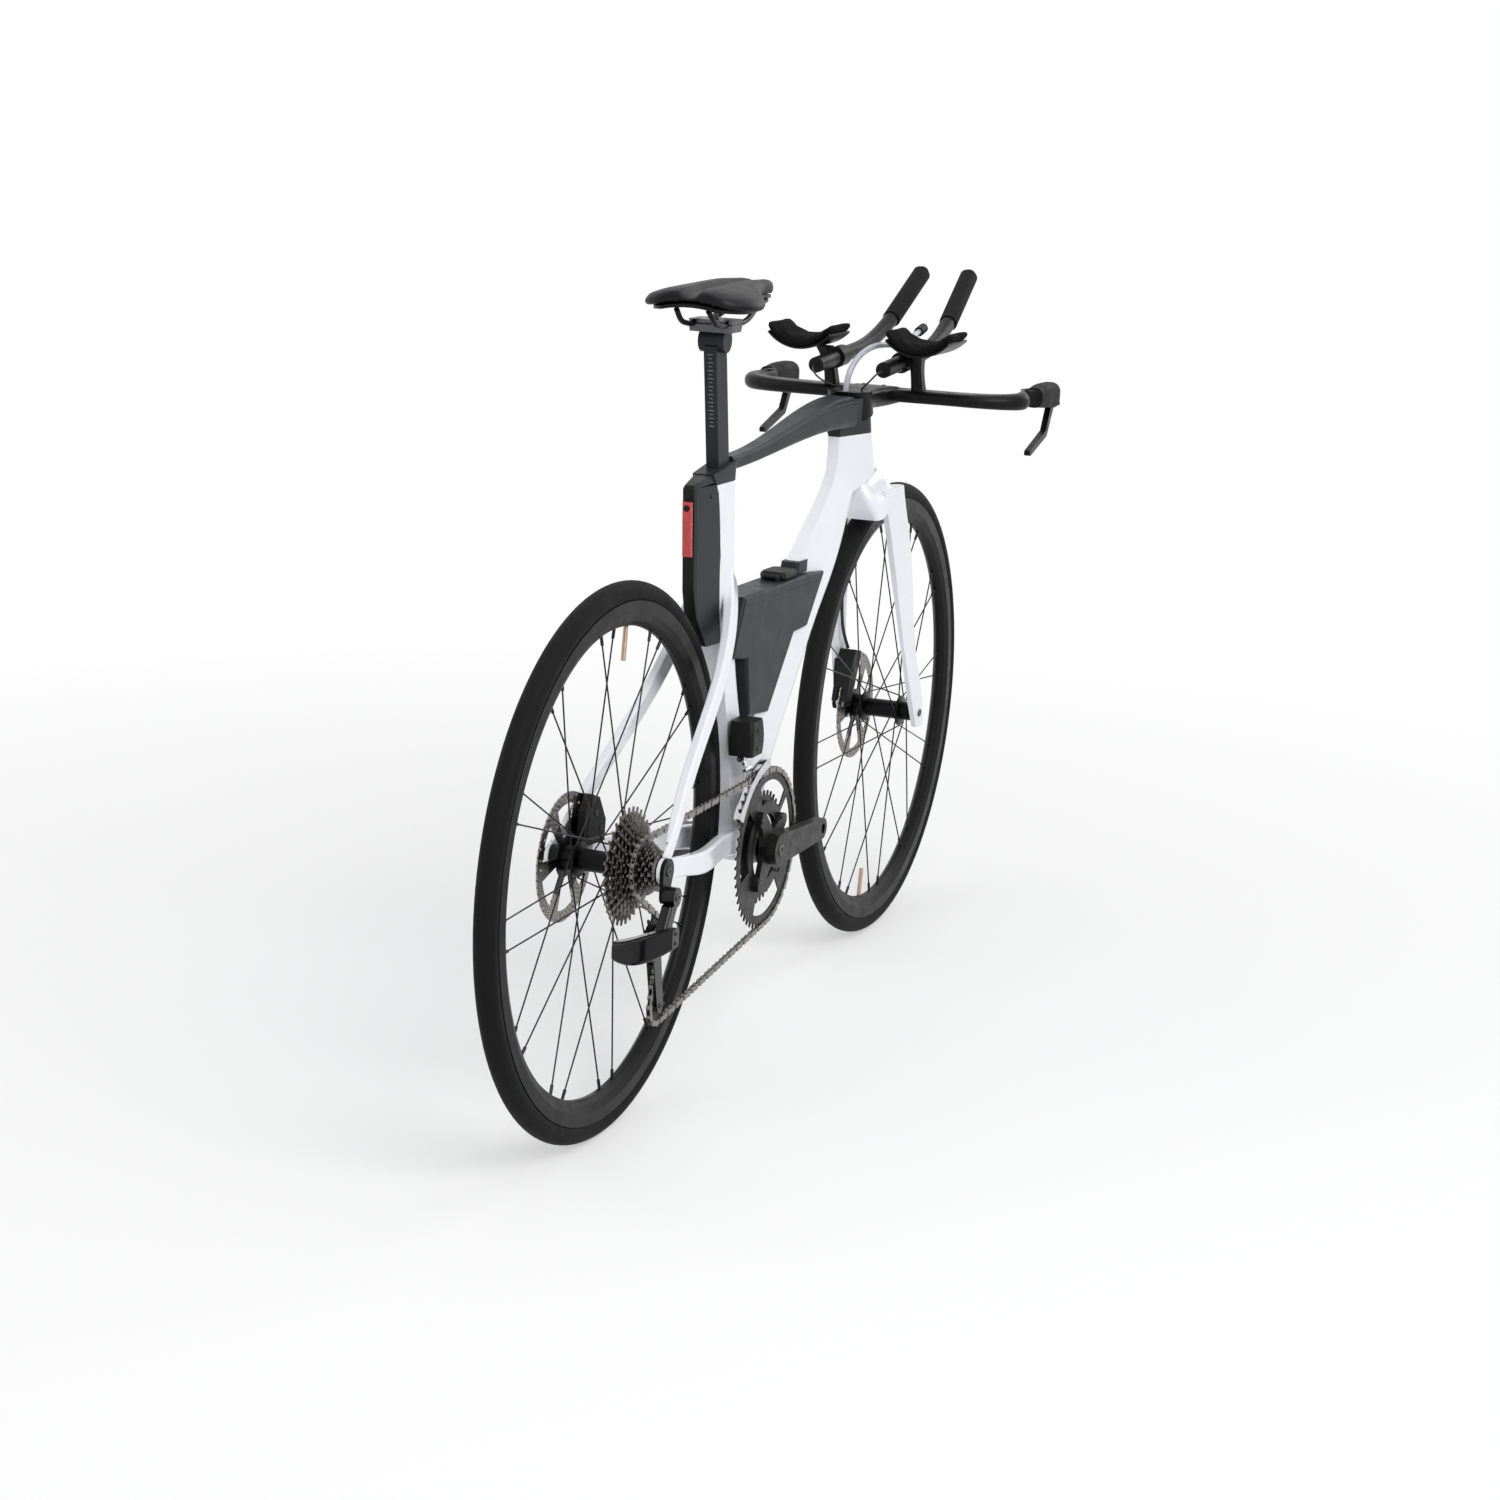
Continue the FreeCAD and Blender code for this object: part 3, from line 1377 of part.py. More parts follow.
def around(centre, radius, start, end):
    """Points of an arc in the chain's plane, with angles in radians."""
    return [centre + point(radius * math.cos(angle), 0, radius * math.sin(angle))
            for angle in (start + (end - start) * i / ARC_STEPS for i in range(ARC_STEPS + 1))]


def chain_stops(cage_angle):
    """The wheels in the chain's order, with their radii and teeth. The guide pulley turns the other
    way, so its radius is negative."""
    tension = GUIDE_PULLEY + turned(point(0, 0, -size("cage_length")), cage_angle)
    pulley = int(size("pulley_teeth"))
    stops = []
    for centre, teeth, sense in ((BRACKET, int(size("ring_teeth")), 1), (REAR, COG_TEETH[DRIVEN_COG], 1),
                                 (GUIDE_PULLEY, pulley, -1), (tension, pulley, 1)):
        stops.append((centre, sense * pitch_radius_of(teeth), teeth))
    return stops


def touch_angle(first, second):
    """The angle at which the chain leaves the first wheel, seen from the right with +X to the right."""
    reach = second[0] - first[0]
    length = math.hypot(reach.x, reach.z)
    return math.atan2(reach.z, reach.x) - math.acos((first[1] - second[1]) / length)


def wheel_arc(before, here, after):
    """Points of the chain on one wheel, and the chain length of each step, one pitch to a tooth."""
    centre, radius, teeth = here
    arrive = touch_angle(before, here)
    leave = touch_angle(here, after)
    if radius > 0:
        leave = arrive + (leave - arrive) % (2 * math.pi)
    else:
        arrive += math.pi
        leave = arrive - (arrive - leave - math.pi) % (2 * math.pi)
    step = size("chain_pitch") * abs(leave - arrive) * teeth / (2 * math.pi) / ARC_STEPS
    return around(centre, abs(radius), arrive, leave), step


def chain_path(cage_angle):
    """The loop as points, each with the chain length to the next one."""
    stops = chain_stops(cage_angle)
    count = len(stops)
    arcs = [wheel_arc(stops[i - 1], stops[i], stops[(i + 1) % count]) for i in range(count)]
    loop = []
    for i, (points, step) in enumerate(arcs):
        following = arcs[(i + 1) % count][0][0]
        loop += [(place, step) for place in points[:-1]]
        loop.append((points[-1], (following - points[-1]).Length))
    return loop


def loop_length(loop):
    return sum(step for _, step in loop)


def settle_cage():
    """The cage angle at which the loop is a whole number of links."""
    target = LINK_COUNT * size("chain_pitch")
    low, high = -75.0, 75.0
    low_long = loop_length(chain_path(low)) > target
    for _ in range(50):
        middle = (low + high) / 2
        if (loop_length(chain_path(middle)) > target) == low_long:
            low = middle
        else:
            high = middle
    return (low + high) / 2


def chain_pins(loop):
    """Pin places along the loop, one pitch apart."""
    pitch = loop_length(loop) / LINK_COUNT
    pins = []
    travelled = 0
    for (start, step), (end, _) in zip(loop, loop[1:] + loop[:1]):
        while len(pins) * pitch < travelled + step and len(pins) < LINK_COUNT:
            pins.append(start + (end - start) * ((len(pins) * pitch - travelled) / step))
        travelled += step
    return pins


def wheel_phase(pins, centre, radius):
    """The angle of a pin that lies on a wheel, so that the wheel's valleys meet the pins."""
    on_wheel = [pin for pin in pins if abs(math.hypot(pin.x - centre.x, pin.z - centre.z) - radius) < 0.2]
    middle = on_wheel[len(on_wheel) // 2]
    return math.atan2(middle.z - centre.z, middle.x - centre.x)


CAGE_ANGLE = settle_cage()
CHAIN_PINS = chain_pins(chain_path(CAGE_ANGLE))
CHAIN_STOPS = chain_stops(CAGE_ANGLE)
TENSION_PULLEY = CHAIN_STOPS[3][0]
RING_PHASE, COG_PHASE, GUIDE_PHASE, TENSION_PHASE = [
    wheel_phase(CHAIN_PINS, centre, abs(radius)) for centre, radius, _ in CHAIN_STOPS]
print(f"cage angle {CAGE_ANGLE:.2f}, tension pulley {TENSION_PULLEY}")


def chain_link(start, end, outer):
    """Two plates with waisted sides, joined by two rollers or two pins."""
    half = 4.15
    waist = 3.1
    ahead = end - start
    length = ahead.Length
    ahead.normalize()
    up = ahead.cross(Y)
    middle = (start + end) / 2

    def place(a, b):
        return middle + ahead * a + up * b

    rim_reach = length / 2
    knee = 0.28 * length
    plate_outline = Part.Wire([
        arc(place(knee, waist), place(rim_reach, half), place(rim_reach + half, 0)),
        arc(place(rim_reach + half, 0), place(rim_reach, -half), place(knee, -waist)),
        line(place(knee, -waist), place(-knee, -waist)),
        arc(place(-knee, -waist), place(-rim_reach, -half), place(-rim_reach - half, 0)),
        arc(place(-rim_reach - half, 0), place(-rim_reach, half), place(-knee, waist)),
        line(place(-knee, waist), place(knee, waist)),
    ])
    wall = size("plate_thickness")
    half_width = size("chain_width") / 2
    outside = half_width if outer else half_width - wall - size("seat_gap")
    plates = []
    for side in (1, -1):
        sheet_face = Part.Face(plate_outline)
        start_y = CHAIN_Y + (side * outside if side < 0 else outside - wall)
        sheet_face.translate(Y * start_y)
        plates.append(sheet_face.extrude(Y * wall))
    radius = 1.5 if outer else size("roller_diameter") / 2
    reach = 2 * outside if outer else 2 * (outside - wall)
    low = CHAIN_Y - reach / 2
    pins = [Part.makeCylinder(radius, reach, pin + Y * low, Y) for pin in (start, end)]
    solid = plates[0].fuse([plates[1]] + pins)
    if outer:
        return solid
    bore = 1.5 + 2 * size("seat_gap")
    return solid.cut([Part.makeCylinder(bore, 20, pin + Y * (CHAIN_Y - 10), Y) for pin in (start, end)])


def chain():
    pitch = point((CHAIN_PINS[1] - CHAIN_PINS[0]).Length, 0, 0)
    patterns = [chain_link(point(0, 0, 0), pitch, True), chain_link(point(0, 0, 0), pitch, False)]
    links = []
    for index, pin in enumerate(CHAIN_PINS):
        ahead = CHAIN_PINS[(index + 1) % LINK_COUNT] - pin
        piece = patterns[index % 2].copy()
        piece.Placement = Placement(pin, Rotation(X, ahead))
        links.append(piece)
    node("chain", feature("chain", Part.makeCompound(links)))


# Hinges of the front derailleur's link, both along X, from the bracket
FRONT_LINK = [at_bracket(-61, 133.4, -34.5), at_bracket(-61, 118.5, -41.6)]


def front_derailleur():
    """A motor on the seat tube, a swinging link and a cage over the big ring."""
    case = feature("motor_case", loft([
        round_section(at_bracket(-58, 138, -37), X, Y, 20, 17, 5),
        round_section(at_bracket(-60, 160, -38), X, Y, 22, 18, 6),
        round_section(at_bracket(-58, 184, -37), X, Y, 19, 16, 5)]))
    ears = hinge_ears("motor_hinge", FRONT_LINK[0], FRONT_LINK[0] + Z * 9, X, 4, 4.5, 6)
    motor = cut("motor", joined("motor_whole", [case] + ears), doc.getObject("seat_blade"),
                NODES["drink_reservoir"])
    node("front_derailleur_motor", motor)
    node("front_derailleur_link", swing_link("front_link", FRONT_LINK[0], FRONT_LINK[1], X, 4, 4.5))
    front_cage()


def front_cage():
    inner_radius = pitch_radius_of(int(size("ring_teeth"))) - 2
    outer_radius = inner_radius + 22
    gap = size("cage_gap") / 2
    plates = []
    for side in (1, -1):
        plane = BRACKET + Y * (CHAIN_Y + side * (gap + size("cage_plate") / 2))
        clear_of_teeth = 0 if side > 0 else 9.5
        window = ring_window(plane, inner_radius + clear_of_teeth, outer_radius, 93, 150)
        face = Part.Face(window)
        face.translate(Y * (-size("cage_plate") / 2))
        plates.append(face.extrude(Y * size("cage_plate")))
    bridge = Part.Face(ring_window(BRACKET, outer_radius - 2.2, outer_radius, 97, 104))
    bridge.translate(Y * (CHAIN_Y - gap))
    tail = Part.Face(ring_window(BRACKET, outer_radius - 2.2, outer_radius, 146, 149.5))
    tail.translate(Y * (CHAIN_Y - gap))
    bars = [bar.extrude(Y * (2 * gap)) for bar in (bridge, tail)]
    plates_and_bars = feature("front_cage_plates", plates[0].fuse([plates[1]] + bars))
    ears = hinge_ears("front_cage_hinge", FRONT_LINK[1], FRONT_LINK[1] - Z * 13, X, 3.5, 4.5, 5)
    node("front_derailleur_cage", joined("front_derailleur_cage", [plates_and_bars] + ears))


# Hinges of the rear derailleur's link, both upright, from the rear axle
REAR_LINK = [at_rear(-18, -88, -69), at_rear(12, -88, -66)]
# The motor, from its inner end out: place from the axle, half length and half height
MOTOR_PLAN = [((-44, -92, -33), (9, 11)), ((-44, -89, -58), (14, 16)), ((-44, -79, -84), (14, 17)),
              ((-42, -67, -110), (10, 12))]


def rear_derailleur():
    """The hanger bracket with its motor, the swinging link and the knuckle that carries the cage."""
    hang = at_rear(-6, -28)
    outer = -(size("rear_width") / 2 + size("dropout_thickness") + size("hanger_thickness")
              + size("hanger_gap") + size("seat_gap"))
    boss = cylinder("bracket_boss", "12", "15", point(hang.x, outer, hang.z), -Y)
    neck = feature("bracket_neck", loft([
        round_section(at_rear(-12, -36, outer - 8), X, Y, 12, 7, 4),
        round_section(at_rear(-42, -80, outer - 8), X, Y, 12, 7, 4)]))
    motor = feature("bracket_motor_block", loft([
        round_section(at_rear(*place), X, Z, *halves, 5) for place, halves in MOTOR_PLAN]))
    housing = joined("bracket_motor", [neck, motor])
    ears = hinge_ears("bracket_hinge", REAR_LINK[0], REAR_LINK[0] - X * 19, Z, 6, 6, 5)
    hanger_room = cylinder("hanger_room", "dropout_radius + 34", "60",
                           REAR + Y * (outer + size("seat_gap")))
    whole = joined("bracket_whole_body", [boss, cut("bracket_motor_clear", housing, hanger_room)] + ears)
    node("rear_derailleur_body", whole)
    node("rear_derailleur_link", swing_link("rear_link", REAR_LINK[0], REAR_LINK[1], Z, 6, 6))
    knuckle()
    rear_cage()


def knuckle():
    start = CHAIN_Y - size("cage_gap") / 2 - size("cage_plate") - size("moving_gap") / 2
    axis = point(GUIDE_PULLEY.x, 0, GUIDE_PULLEY.z)
    boss = cylinder("knuckle_boss", "13", "17", axis + Y * start, -Y)
    root = point(GUIDE_PULLEY.x - 6, REAR_LINK[1].y, REAR_LINK[1].z)
    ears = hinge_ears("knuckle_hinge", REAR_LINK[1], root, Z, 6, 6, 5)
    bore = cylinder("knuckle_bore", "2 * pivot_radius + running_gap", "9", axis + Y * start, -Y)
    node("rear_derailleur_knuckle", cut("knuckle", joined("knuckle_whole", [boss] + ears), bore))


def rear_cage():
    """Two plates with a pin for each pulley."""
    gap = size("cage_gap") / 2
    outer_start = CHAIN_Y - gap
    inner_start = CHAIN_Y + gap + size("cage_plate")
    plates = [link(f"cage_{name}", GUIDE_PULLEY + Y * place, TENSION_PULLEY + Y * place,
                   "12", "9", "cage_plate")
              for name, place in (("outer", outer_start), ("inner", inner_start))]
    pins = [cylinder(f"pulley_pin_{name}", "pivot_radius", "cage_gap + cage_plate",
                     centre + Y * (CHAIN_Y - gap - size("cage_plate") / 2))
            for name, centre in (("guide", GUIDE_PULLEY), ("tension", TENSION_PULLEY))]
    pivot = cylinder("cage_pivot", "2 * pivot_radius", "8", GUIDE_PULLEY + Y * (outer_start - 1), -Y)
    node("derailleur_cage", joined("derailleur_cage", plates + pins + [pivot]))
    for name, centre, phase in (("guide_pulley", GUIDE_PULLEY, GUIDE_PHASE),
                                ("tension_pulley", TENSION_PULLEY, TENSION_PHASE)):
        plane = centre + Y * CHAIN_Y
        bore = circle_wire(plane, size("pivot_radius") + size("running_gap"))
        outline = toothed_outline(int(size("pulley_teeth")), plane, phase)
        node(name, feature(name, flat_solid(outline, [bore], size("pulley_thickness"))))


def drive():
    cranks()
    chainrings()
    cassette()
    chain()
    front_derailleur()
    rear_derailleur()


# Brakes

def caliper(name, outline, centre, low_y, width, disc_y, pad_corner, foot, carriers):
    """A caliper body on its foot, with a slot round the disc and a pad on each side of it."""
    block = plate(f"{name}_block", outline, width, centre + Y * low_y)
    corner, spans = foot
    base = doc.addObject("Part::Box", f"{name}_foot")
    bind(base, Length=f"{spans[0]}", Width=f"{spans[1]}", Height=f"{spans[2]}")
    base.Placement = Placement(centre + corner, Rotation())
    slot_radius = size("rotor_radius") + 3
    slot = cylinder(f"{name}_slot", f"{slot_radius}", "8", centre + Y * (disc_y - 4))
    pads = []
    for side in (1, -1):
        shoe = doc.addObject("Part::Box", f"{name}_pad_{'left' if side > 0 else 'right'}")
        bind(shoe, Length="26", Width="2.4", Height="15")
        start = disc_y + (1.5 if side > 0 else -1.5 - 2.4)
        shoe.Placement = Placement(centre + pad_corner + Y * start, Rotation())
        pads.append(shoe)
    whole = joined(f"{name}_whole", [block, base])
    node(name, grouped(name, [cut(name, whole, slot, *carriers)] + pads))


def brakes():
    caliper("rear_caliper",
            [("22", "8"), ("84", "3.5"), ("86", "30"), ("66", "62"), ("44", "70"), ("26", "52")],
            REAR, 61.5, "21", size("rear_rotor_offset"), point(50, 0, 16),
            (point(34, 52, 2), (46, 22, 12)), [doc.getObject("chain_blade"), doc.getObject("stay_blade")])
    caliper("front_caliper",
            [("-78", "20"), ("-54", "20"), ("-33", "62"), ("-20", "88"), ("-46", "94"), ("-66", "62")],
            FRONT, 48.9, "24", size("front_rotor_offset"), point(-62, 0, 44),
            (point(-58, 40, 40), (28, 14, 40)), [doc.getObject("fork_blade")])


# Cockpit

# Fork blade: height and place from the front axle, distance from the centre plane, chord, half width
FORK_BLADE = [
    (352, -122, 41, 80, 9.5),
    (295, -102, 45, 74, 9),
    (187, -70, 51, 60, 8),
    (58, -25, 56.5, 45, 7),
    (0, 0, 58, 36, 8),
    (-22, 7, 58, 22, 7),
]


def fork():
    blade = feature("fork_blade", loft([
        tube_section(at_front(x + chord / 2, z, y), at_front(x - chord / 2, z, y), half, 0.45 * half)
        for z, x, y, chord, half in FORK_BLADE]))
    race = size("crown_race")
    crown = feature("fork_crown", loft([
        round_section(on_steerer(race), STEER_FORWARD, Y, 31, 26, 12),
        round_section(on_steerer(race - 14), STEER_FORWARD, Y, 37, 36, 14),
        round_section(on_steerer(race - 36, 2), STEER_FORWARD, Y, 41, 47, 14),
        round_section(on_steerer(race - 52, 4), STEER_FORWARD, Y, 40, 50, 12)]))
    steerer = cylinder("steerer", "steerer_radius", f"{STEM_BASE - race + 29}",
                       on_steerer(race - 2), STEER_UP)
    tyre_room = cylinder("tyre_room", "tyre_radius + 11", "2 * tyre_width - 12",
                         FRONT - Y * (size("tyre_width") - 6))
    bore = cylinder("fork_bore", "axle_diameter / 2 + running_gap", "160", FRONT - Y * 80)
    whole = joined("fork_whole", [crown, blade, mirrored(blade), steerer])
    tips = cylinder("hub_space", "30", "front_width", FRONT - Y * (size("front_width") / 2))
    node("fork", cut("fork", whole, tyre_room, tips, bore))


def stem():
    """A deep stem, round about the steerer, that runs forward into the base bar."""
    base = STEM_BASE + size("moving_gap")
    drum = cylinder("stem_drum", "stem_radius", "52", on_steerer(base), STEER_UP)
    top = size("stem_top")
    body = feature("stem_body", loft([
        round_section(at_stem(6, 0.8), Y, Z, 29, 11, 6),
        round_section(at_stem(60, -1.5), Y, Z, 27, 14, 8),
        round_section(at_stem(112, -1.5), Y, Z, 38, 12, 8)]))
    above = doc.addObject("Part::Box", "above_stem")
    bind(above, Length="200", Width="200", Height="60")
    above.Placement = Placement(point(STEM_POINT.x - 100, -100, top), Rotation())
    bore = cylinder("stem_bore", "steerer_radius + seat_gap", "38", on_steerer(base - 10), STEER_UP)
    whole = cut("stem_trim", joined("stem_whole", [drum, body]), above)
    socket = wire_socket("wire_socket")
    return cut("stem_hollow", whole, bore, hose_socket("hose_socket"), socket, mirrored(socket))


def hose_socket(name):
    foot = DRINK_HOSE[0] - Z * (2 * size("seat_gap"))
    return cylinder(name, "hose_diameter / 2 + 8 * seat_gap", "24", foot, Z)


def wire_socket(name):
    """The hole in the stem's top that a shift wire goes into."""
    back = SHIFT_WIRE[-2] - SHIFT_WIRE[-1]
    back.normalize()
    return cylinder(name, "wire_diameter / 2 + 2 * seat_gap", "16", SHIFT_WIRE[-1] - back * 0.4, back)


# Base bar: distance from the centre plane, forward, shares of the chord and thickness, and heading
BASE_BAR = [
    (0, 0, 1, 1, 0),
    (55, 0, 1, 1, 0),
    (110, 1, 0.95, 1, 0),
    (158, 4, 0.82, 1.1, 12),
    (192, 19, 0.64, 1.25, 50),
    (204, 48, 0.568, 1.388, 84),
    (206, 102, 0.568, 1.388, 90),
]


def bar_section(station, side):
    y, forward, chord_share, thick_share, heading = station
    half_chord = chord_share * size("bar_chord") / 2
    half_thick = thick_share * size("bar_thickness") / 2
    turn = math.radians(heading)
    across = point(math.cos(turn), -side * math.sin(turn), 0)
    centre = at_stem(111 + forward, -1, side * y * size("bar_half_width") / 206)
    return round_section(centre, across, Z, half_chord, half_thick, 0.92 * half_thick)


def cockpit():
    """The stem and the base bar, in one moulding."""
    wires = [bar_section(station, -1) for station in reversed(BASE_BAR[1:])]
    wires += [bar_section(station, 1) for station in BASE_BAR]
    bar = feature("base_bar", loft(wires))
    node("cockpit", joined("cockpit", [bar, stem()]))


def bar_end(side=1):
    """The place where the base bar ends, on one side."""
    return at_stem(111 + 102, -1, side * size("bar_half_width"))


LEVER_PIVOT = (94, -16)
LEVER_ELBOW = (66, -58)
LEVER_TIP = (-12, -79)


def lever_point(place, side=1):
    return bar_end(side) + point(place[0], 0, place[1])


def hoods():
    end = bar_end()
    wires = []
    for forward, up, half_y, half_z in ((0.1, 0, 14, 14.5), (22, 0, 15, 16), (54, -1, 14.5, 18),
                                        (84, -3, 13.5, 19), (102, -6, 12, 16.5), (110, -9, 8, 9)):
        wires.append(round_section(end + point(forward, 0, up), Y, Z, half_y, half_z, 0.8 * half_y))
    block = feature("hood_block", loft(wires))
    pivot = lever_point(LEVER_PIVOT)
    slot = doc.addObject("Part::Box", "lever_slot")
    bind(slot, Length="70", Width="lever_width + 2 * moving_gap", Height="40")
    slot_side = size("lever_width") / 2 + size("moving_gap")
    slot.Placement = Placement(pivot + point(-52, -slot_side, -30), Rotation())
    hood = cut("hood", block, slot, NODES["cockpit"])
    pin = cylinder("lever_pin", "pivot_radius", "lever_width + 2 * moving_gap",
                   pivot - Y * (size("lever_width") / 2 + size("moving_gap")))
    node("lever_hoods", both_sides("lever_hoods", grouped("hood_and_pin", [hood, pin])))


def levers():
    for side, name in ((1, "left"), (-1, "right")):
        shift = Y * (size("lever_width") / 2)
        pivot, elbow, tip = [lever_point(place, side) + shift
                             for place in (LEVER_PIVOT, LEVER_ELBOW, LEVER_TIP)]
        upper = link(f"lever_{name}_upper", pivot, elbow, "7", "5", "lever_width")
        lower = link(f"lever_{name}_lower", elbow, tip, "5", "4", "lever_width")
        bore = cylinder(f"lever_{name}_bore", "pivot_radius + running_gap", "40", pivot - Y * 20)
        lever = joined(f"lever_{name}", [upper, lower])
        node(f"brake_lever_{name}", cut(f"brake_lever_{name}", lever, bore))


# Extension centre line: forward and up from the stem, and a share of the half spacing
EXTENSION_REAR = (-11, 45, 1.0)
EXTENSION_BEND = (240, 59, 0.96)
EXTENSION_TIP = (411, 152, 0.75)


def extension_point(place, side=1):
    forward, up, share = place
    return at_stem(forward, up, side * share * size("extension_spacing") / 2)


def extensions():
    rear, bend, tip = [extension_point(place) for place in (EXTENSION_REAR, EXTENSION_BEND, EXTENSION_TIP)]
    radius = size("extension_diameter") / 2
    route, _ = rounded_route([rear, bend, tip])

    def pipe(name, reach):
        circle = Part.Wire(Part.makeCircle(reach, rear, bend - rear))
        return feature(name, route.makePipeShell([circle], True, False))

    tube = pipe("extension_tube", radius)
    core = pipe("grip_core", radius + 3 * size("seat_gap"))
    rise = tip - bend
    rise.normalize()
    well = cylinder("button_shaft", "button_stem + running_gap", "14", tip - rise * 12, rise)
    node("extensions", both_sides("extensions", cut("extension", tube, well)))
    start = bend + rise * 64
    length = (tip - start).Length
    sleeve = cylinder("grip_sleeve", "grip_diameter / 2", f"{length - 2}", start, rise)
    node("extension_grips", both_sides("extension_grips", cut("grip", sleeve, core)))
    for side, name in ((1, "left"), (-1, "right")):
        ahead = point(rise.x, side * rise.y, rise.z)
        seat = extension_point(EXTENSION_TIP, side) + ahead * (size("button_travel") + size("seat_gap"))
        cap = cylinder(f"button_cap_{name}", "button_radius + 3", "button_height", seat, ahead)
        stem_part = cylinder(f"button_stem_{name}", "button_stem", "9", seat + ahead, -ahead)
        node(f"shift_button_{name}", joined(f"shift_button_{name}", [cap, stem_part]))


def pad_centre():
    """The middle of the left arm pad's underside."""
    return at_stem(59, 62.5, size("pad_spacing") / 2)


def crescent(x_offset, half_width, depth, low, thick):
    """A dished section across one arm pad."""
    centre = pad_centre() + X * x_offset

    def place(y, z):
        return centre + point(0, y, z)

    lip = 0.42 * thick
    inner_half = half_width - 0.55 * thick
    return Part.Wire([
        arc(place(-half_width, low + depth - lip), place(0, low), place(half_width, low + depth - lip)),
        arc(place(half_width, low + depth - lip), place(half_width - 0.1 * thick, low + depth),
            place(inner_half, low + depth)),
        arc(place(inner_half, low + depth), place(0, low + thick), place(-inner_half, low + depth)),
        arc(place(-inner_half, low + depth), place(-half_width + 0.1 * thick, low + depth),
            place(-half_width, low + depth - lip)),
    ])


def arm_pads():
    half_length = size("pad_length") / 2
    half = size("pad_width") / 2
    tray = size("tray_thickness")
    rise = tray + 5 * size("seat_gap")
    stages = ((-1, 0.9, 0.55), (-0.86, 0.98, 0.9), (0, 1, 1), (0.86, 0.98, 0.9), (1, 0.9, 0.55))
    pad = feature("pad", loft([
        crescent(share * half_length, half * wide, size("pad_depth") * wide, rise,
                 size("pad_thickness") * thick)
        for share, wide, thick in stages]))
    node("arm_pads", both_sides("arm_pads", pad))


def tray_section(x_offset):
    """A thin dish under the pad, on the pad's own curve."""
    half = size("pad_width") / 2
    depth = size("pad_depth") - 0.42 * size("pad_thickness")
    curve = (half ** 2 + depth ** 2) / (2 * depth)
    inner = curve + 7 * size("seat_gap")
    outer = inner + size("tray_thickness")
    centre = pad_centre() + X * x_offset + Z * (size("tray_thickness") + inner)
    spread = 0.86 * math.degrees(math.asin(half / curve))

    def place(radius, angle):
        return centre + turned(point(0, 0, -radius), angle, X)

    return Part.Wire([
        arc(place(outer, -spread), place(outer, 0), place(outer, spread)),
        line(place(outer, spread), place(inner, spread)),
        arc(place(inner, spread), place(inner, 0), place(inner, -spread)),
        line(place(inner, -spread), place(outer, -spread)),
    ])


def pad_room_section(x_offset):
    """The space above the tray, which the pad fills."""
    half = size("pad_width") / 2
    depth = size("pad_depth") - 0.42 * size("pad_thickness")
    low = pad_centre() + X * x_offset + Z * (size("tray_thickness") + size("seat_gap") / 2)
    return Part.Wire([
        arc(low + point(0, -half, depth), low, low + point(0, half, depth)),
        line(low + point(0, half, depth), low + point(0, -half, depth)),
    ])


def brackets():
    """A riser on the base bar, a clamp round the extension and a tray under the pad, on each side."""
    half_length = size("pad_length") / 2 - 6
    tray = feature("tray", loft([tray_section(share * half_length) for share in (-1, 1)], True))
    pad_room = feature("pad_room", loft([pad_room_section(share * half_length)
                                         for share in (-1.3, 1.3)], True))
    riser_y = size("riser_spacing") / 2
    post = feature("riser", loft([
        round_section(at_stem(106, 6, riser_y), X, Y, 12, 9, 4),
        round_section(at_stem(96, 32, riser_y), X, Y, 11, 8, 4),
        round_section(at_stem(78, 64, riser_y + 4), X, Y, 14, 10, 4)]))
    along = extension_point(EXTENSION_BEND) - extension_point(EXTENSION_REAR)
    along.normalize()
    middle = extension_point(EXTENSION_REAR) + along * 92
    collar = cylinder("collar", "extension_diameter / 2 + 4", "30", middle - along * 15, along)
    bore = cylinder("collar_bore", "extension_diameter / 2 + seat_gap", "400", middle - along * 200, along)
    whole = joined("bracket_whole", [tray, post, collar])
    left = cut("bracket", whole, bore, pad_room, NODES["cockpit"])
    node("extension_brackets", both_sides("extension_brackets", left))


# Routes, from the stem or the front axle
DRINK_HOSE = [at_stem(-23.5, 9, 0), at_stem(-21.5, 30, -1), at_stem(-12, 50, -5), at_stem(8, 65, -11),
              at_stem(39, 73, -18), at_stem(77, 72, -23), at_stem(119, 69.5, -26.5), at_stem(165, 73, -28),
              at_stem(208, 81.5, -28)]
BRAKE_HOSE = [at_front(-100, 300, 32.5), at_front(-95, 270, 34), at_front(-88, 230, 36.8),
              at_front(-80, 190, 39.5), at_front(-72, 154, 41.5), at_front(-61, 120, 41.5),
              at_front(-44.7, 95.6, 38.2)]
SHIFT_WIRE = [at_stem(-11.5, 45, 50), at_stem(-24, 44, 50), at_stem(-34, 39, 46), at_stem(-33, 30, 38),
              at_stem(-22, 22, 27), at_stem(-4, 16, 18), at_stem(6, 13.5, 14)]


def cords():
    hose = feature("drink_hose", cord("drink hose", DRINK_HOSE, size("hose_diameter")))
    node("drink_hose", hose)
    end = DRINK_HOSE[-1]
    ahead = DRINK_HOSE[-1] - DRINK_HOSE[-2]
    ahead.normalize()
    valve = cylinder("bite_valve", "7", "22", end + ahead * size("seat_gap"), ahead)
    node("bite_valve", valve)
    brake = feature("front_hose", cord("brake hose", BRAKE_HOSE, size("brake_hose_diameter")))
    wire = feature("shift_wire", cord("shift wire", SHIFT_WIRE, size("wire_diameter")))
    node("cockpit_cables", grouped("cockpit_cables", [brake, wire, mirrored(wire)]))


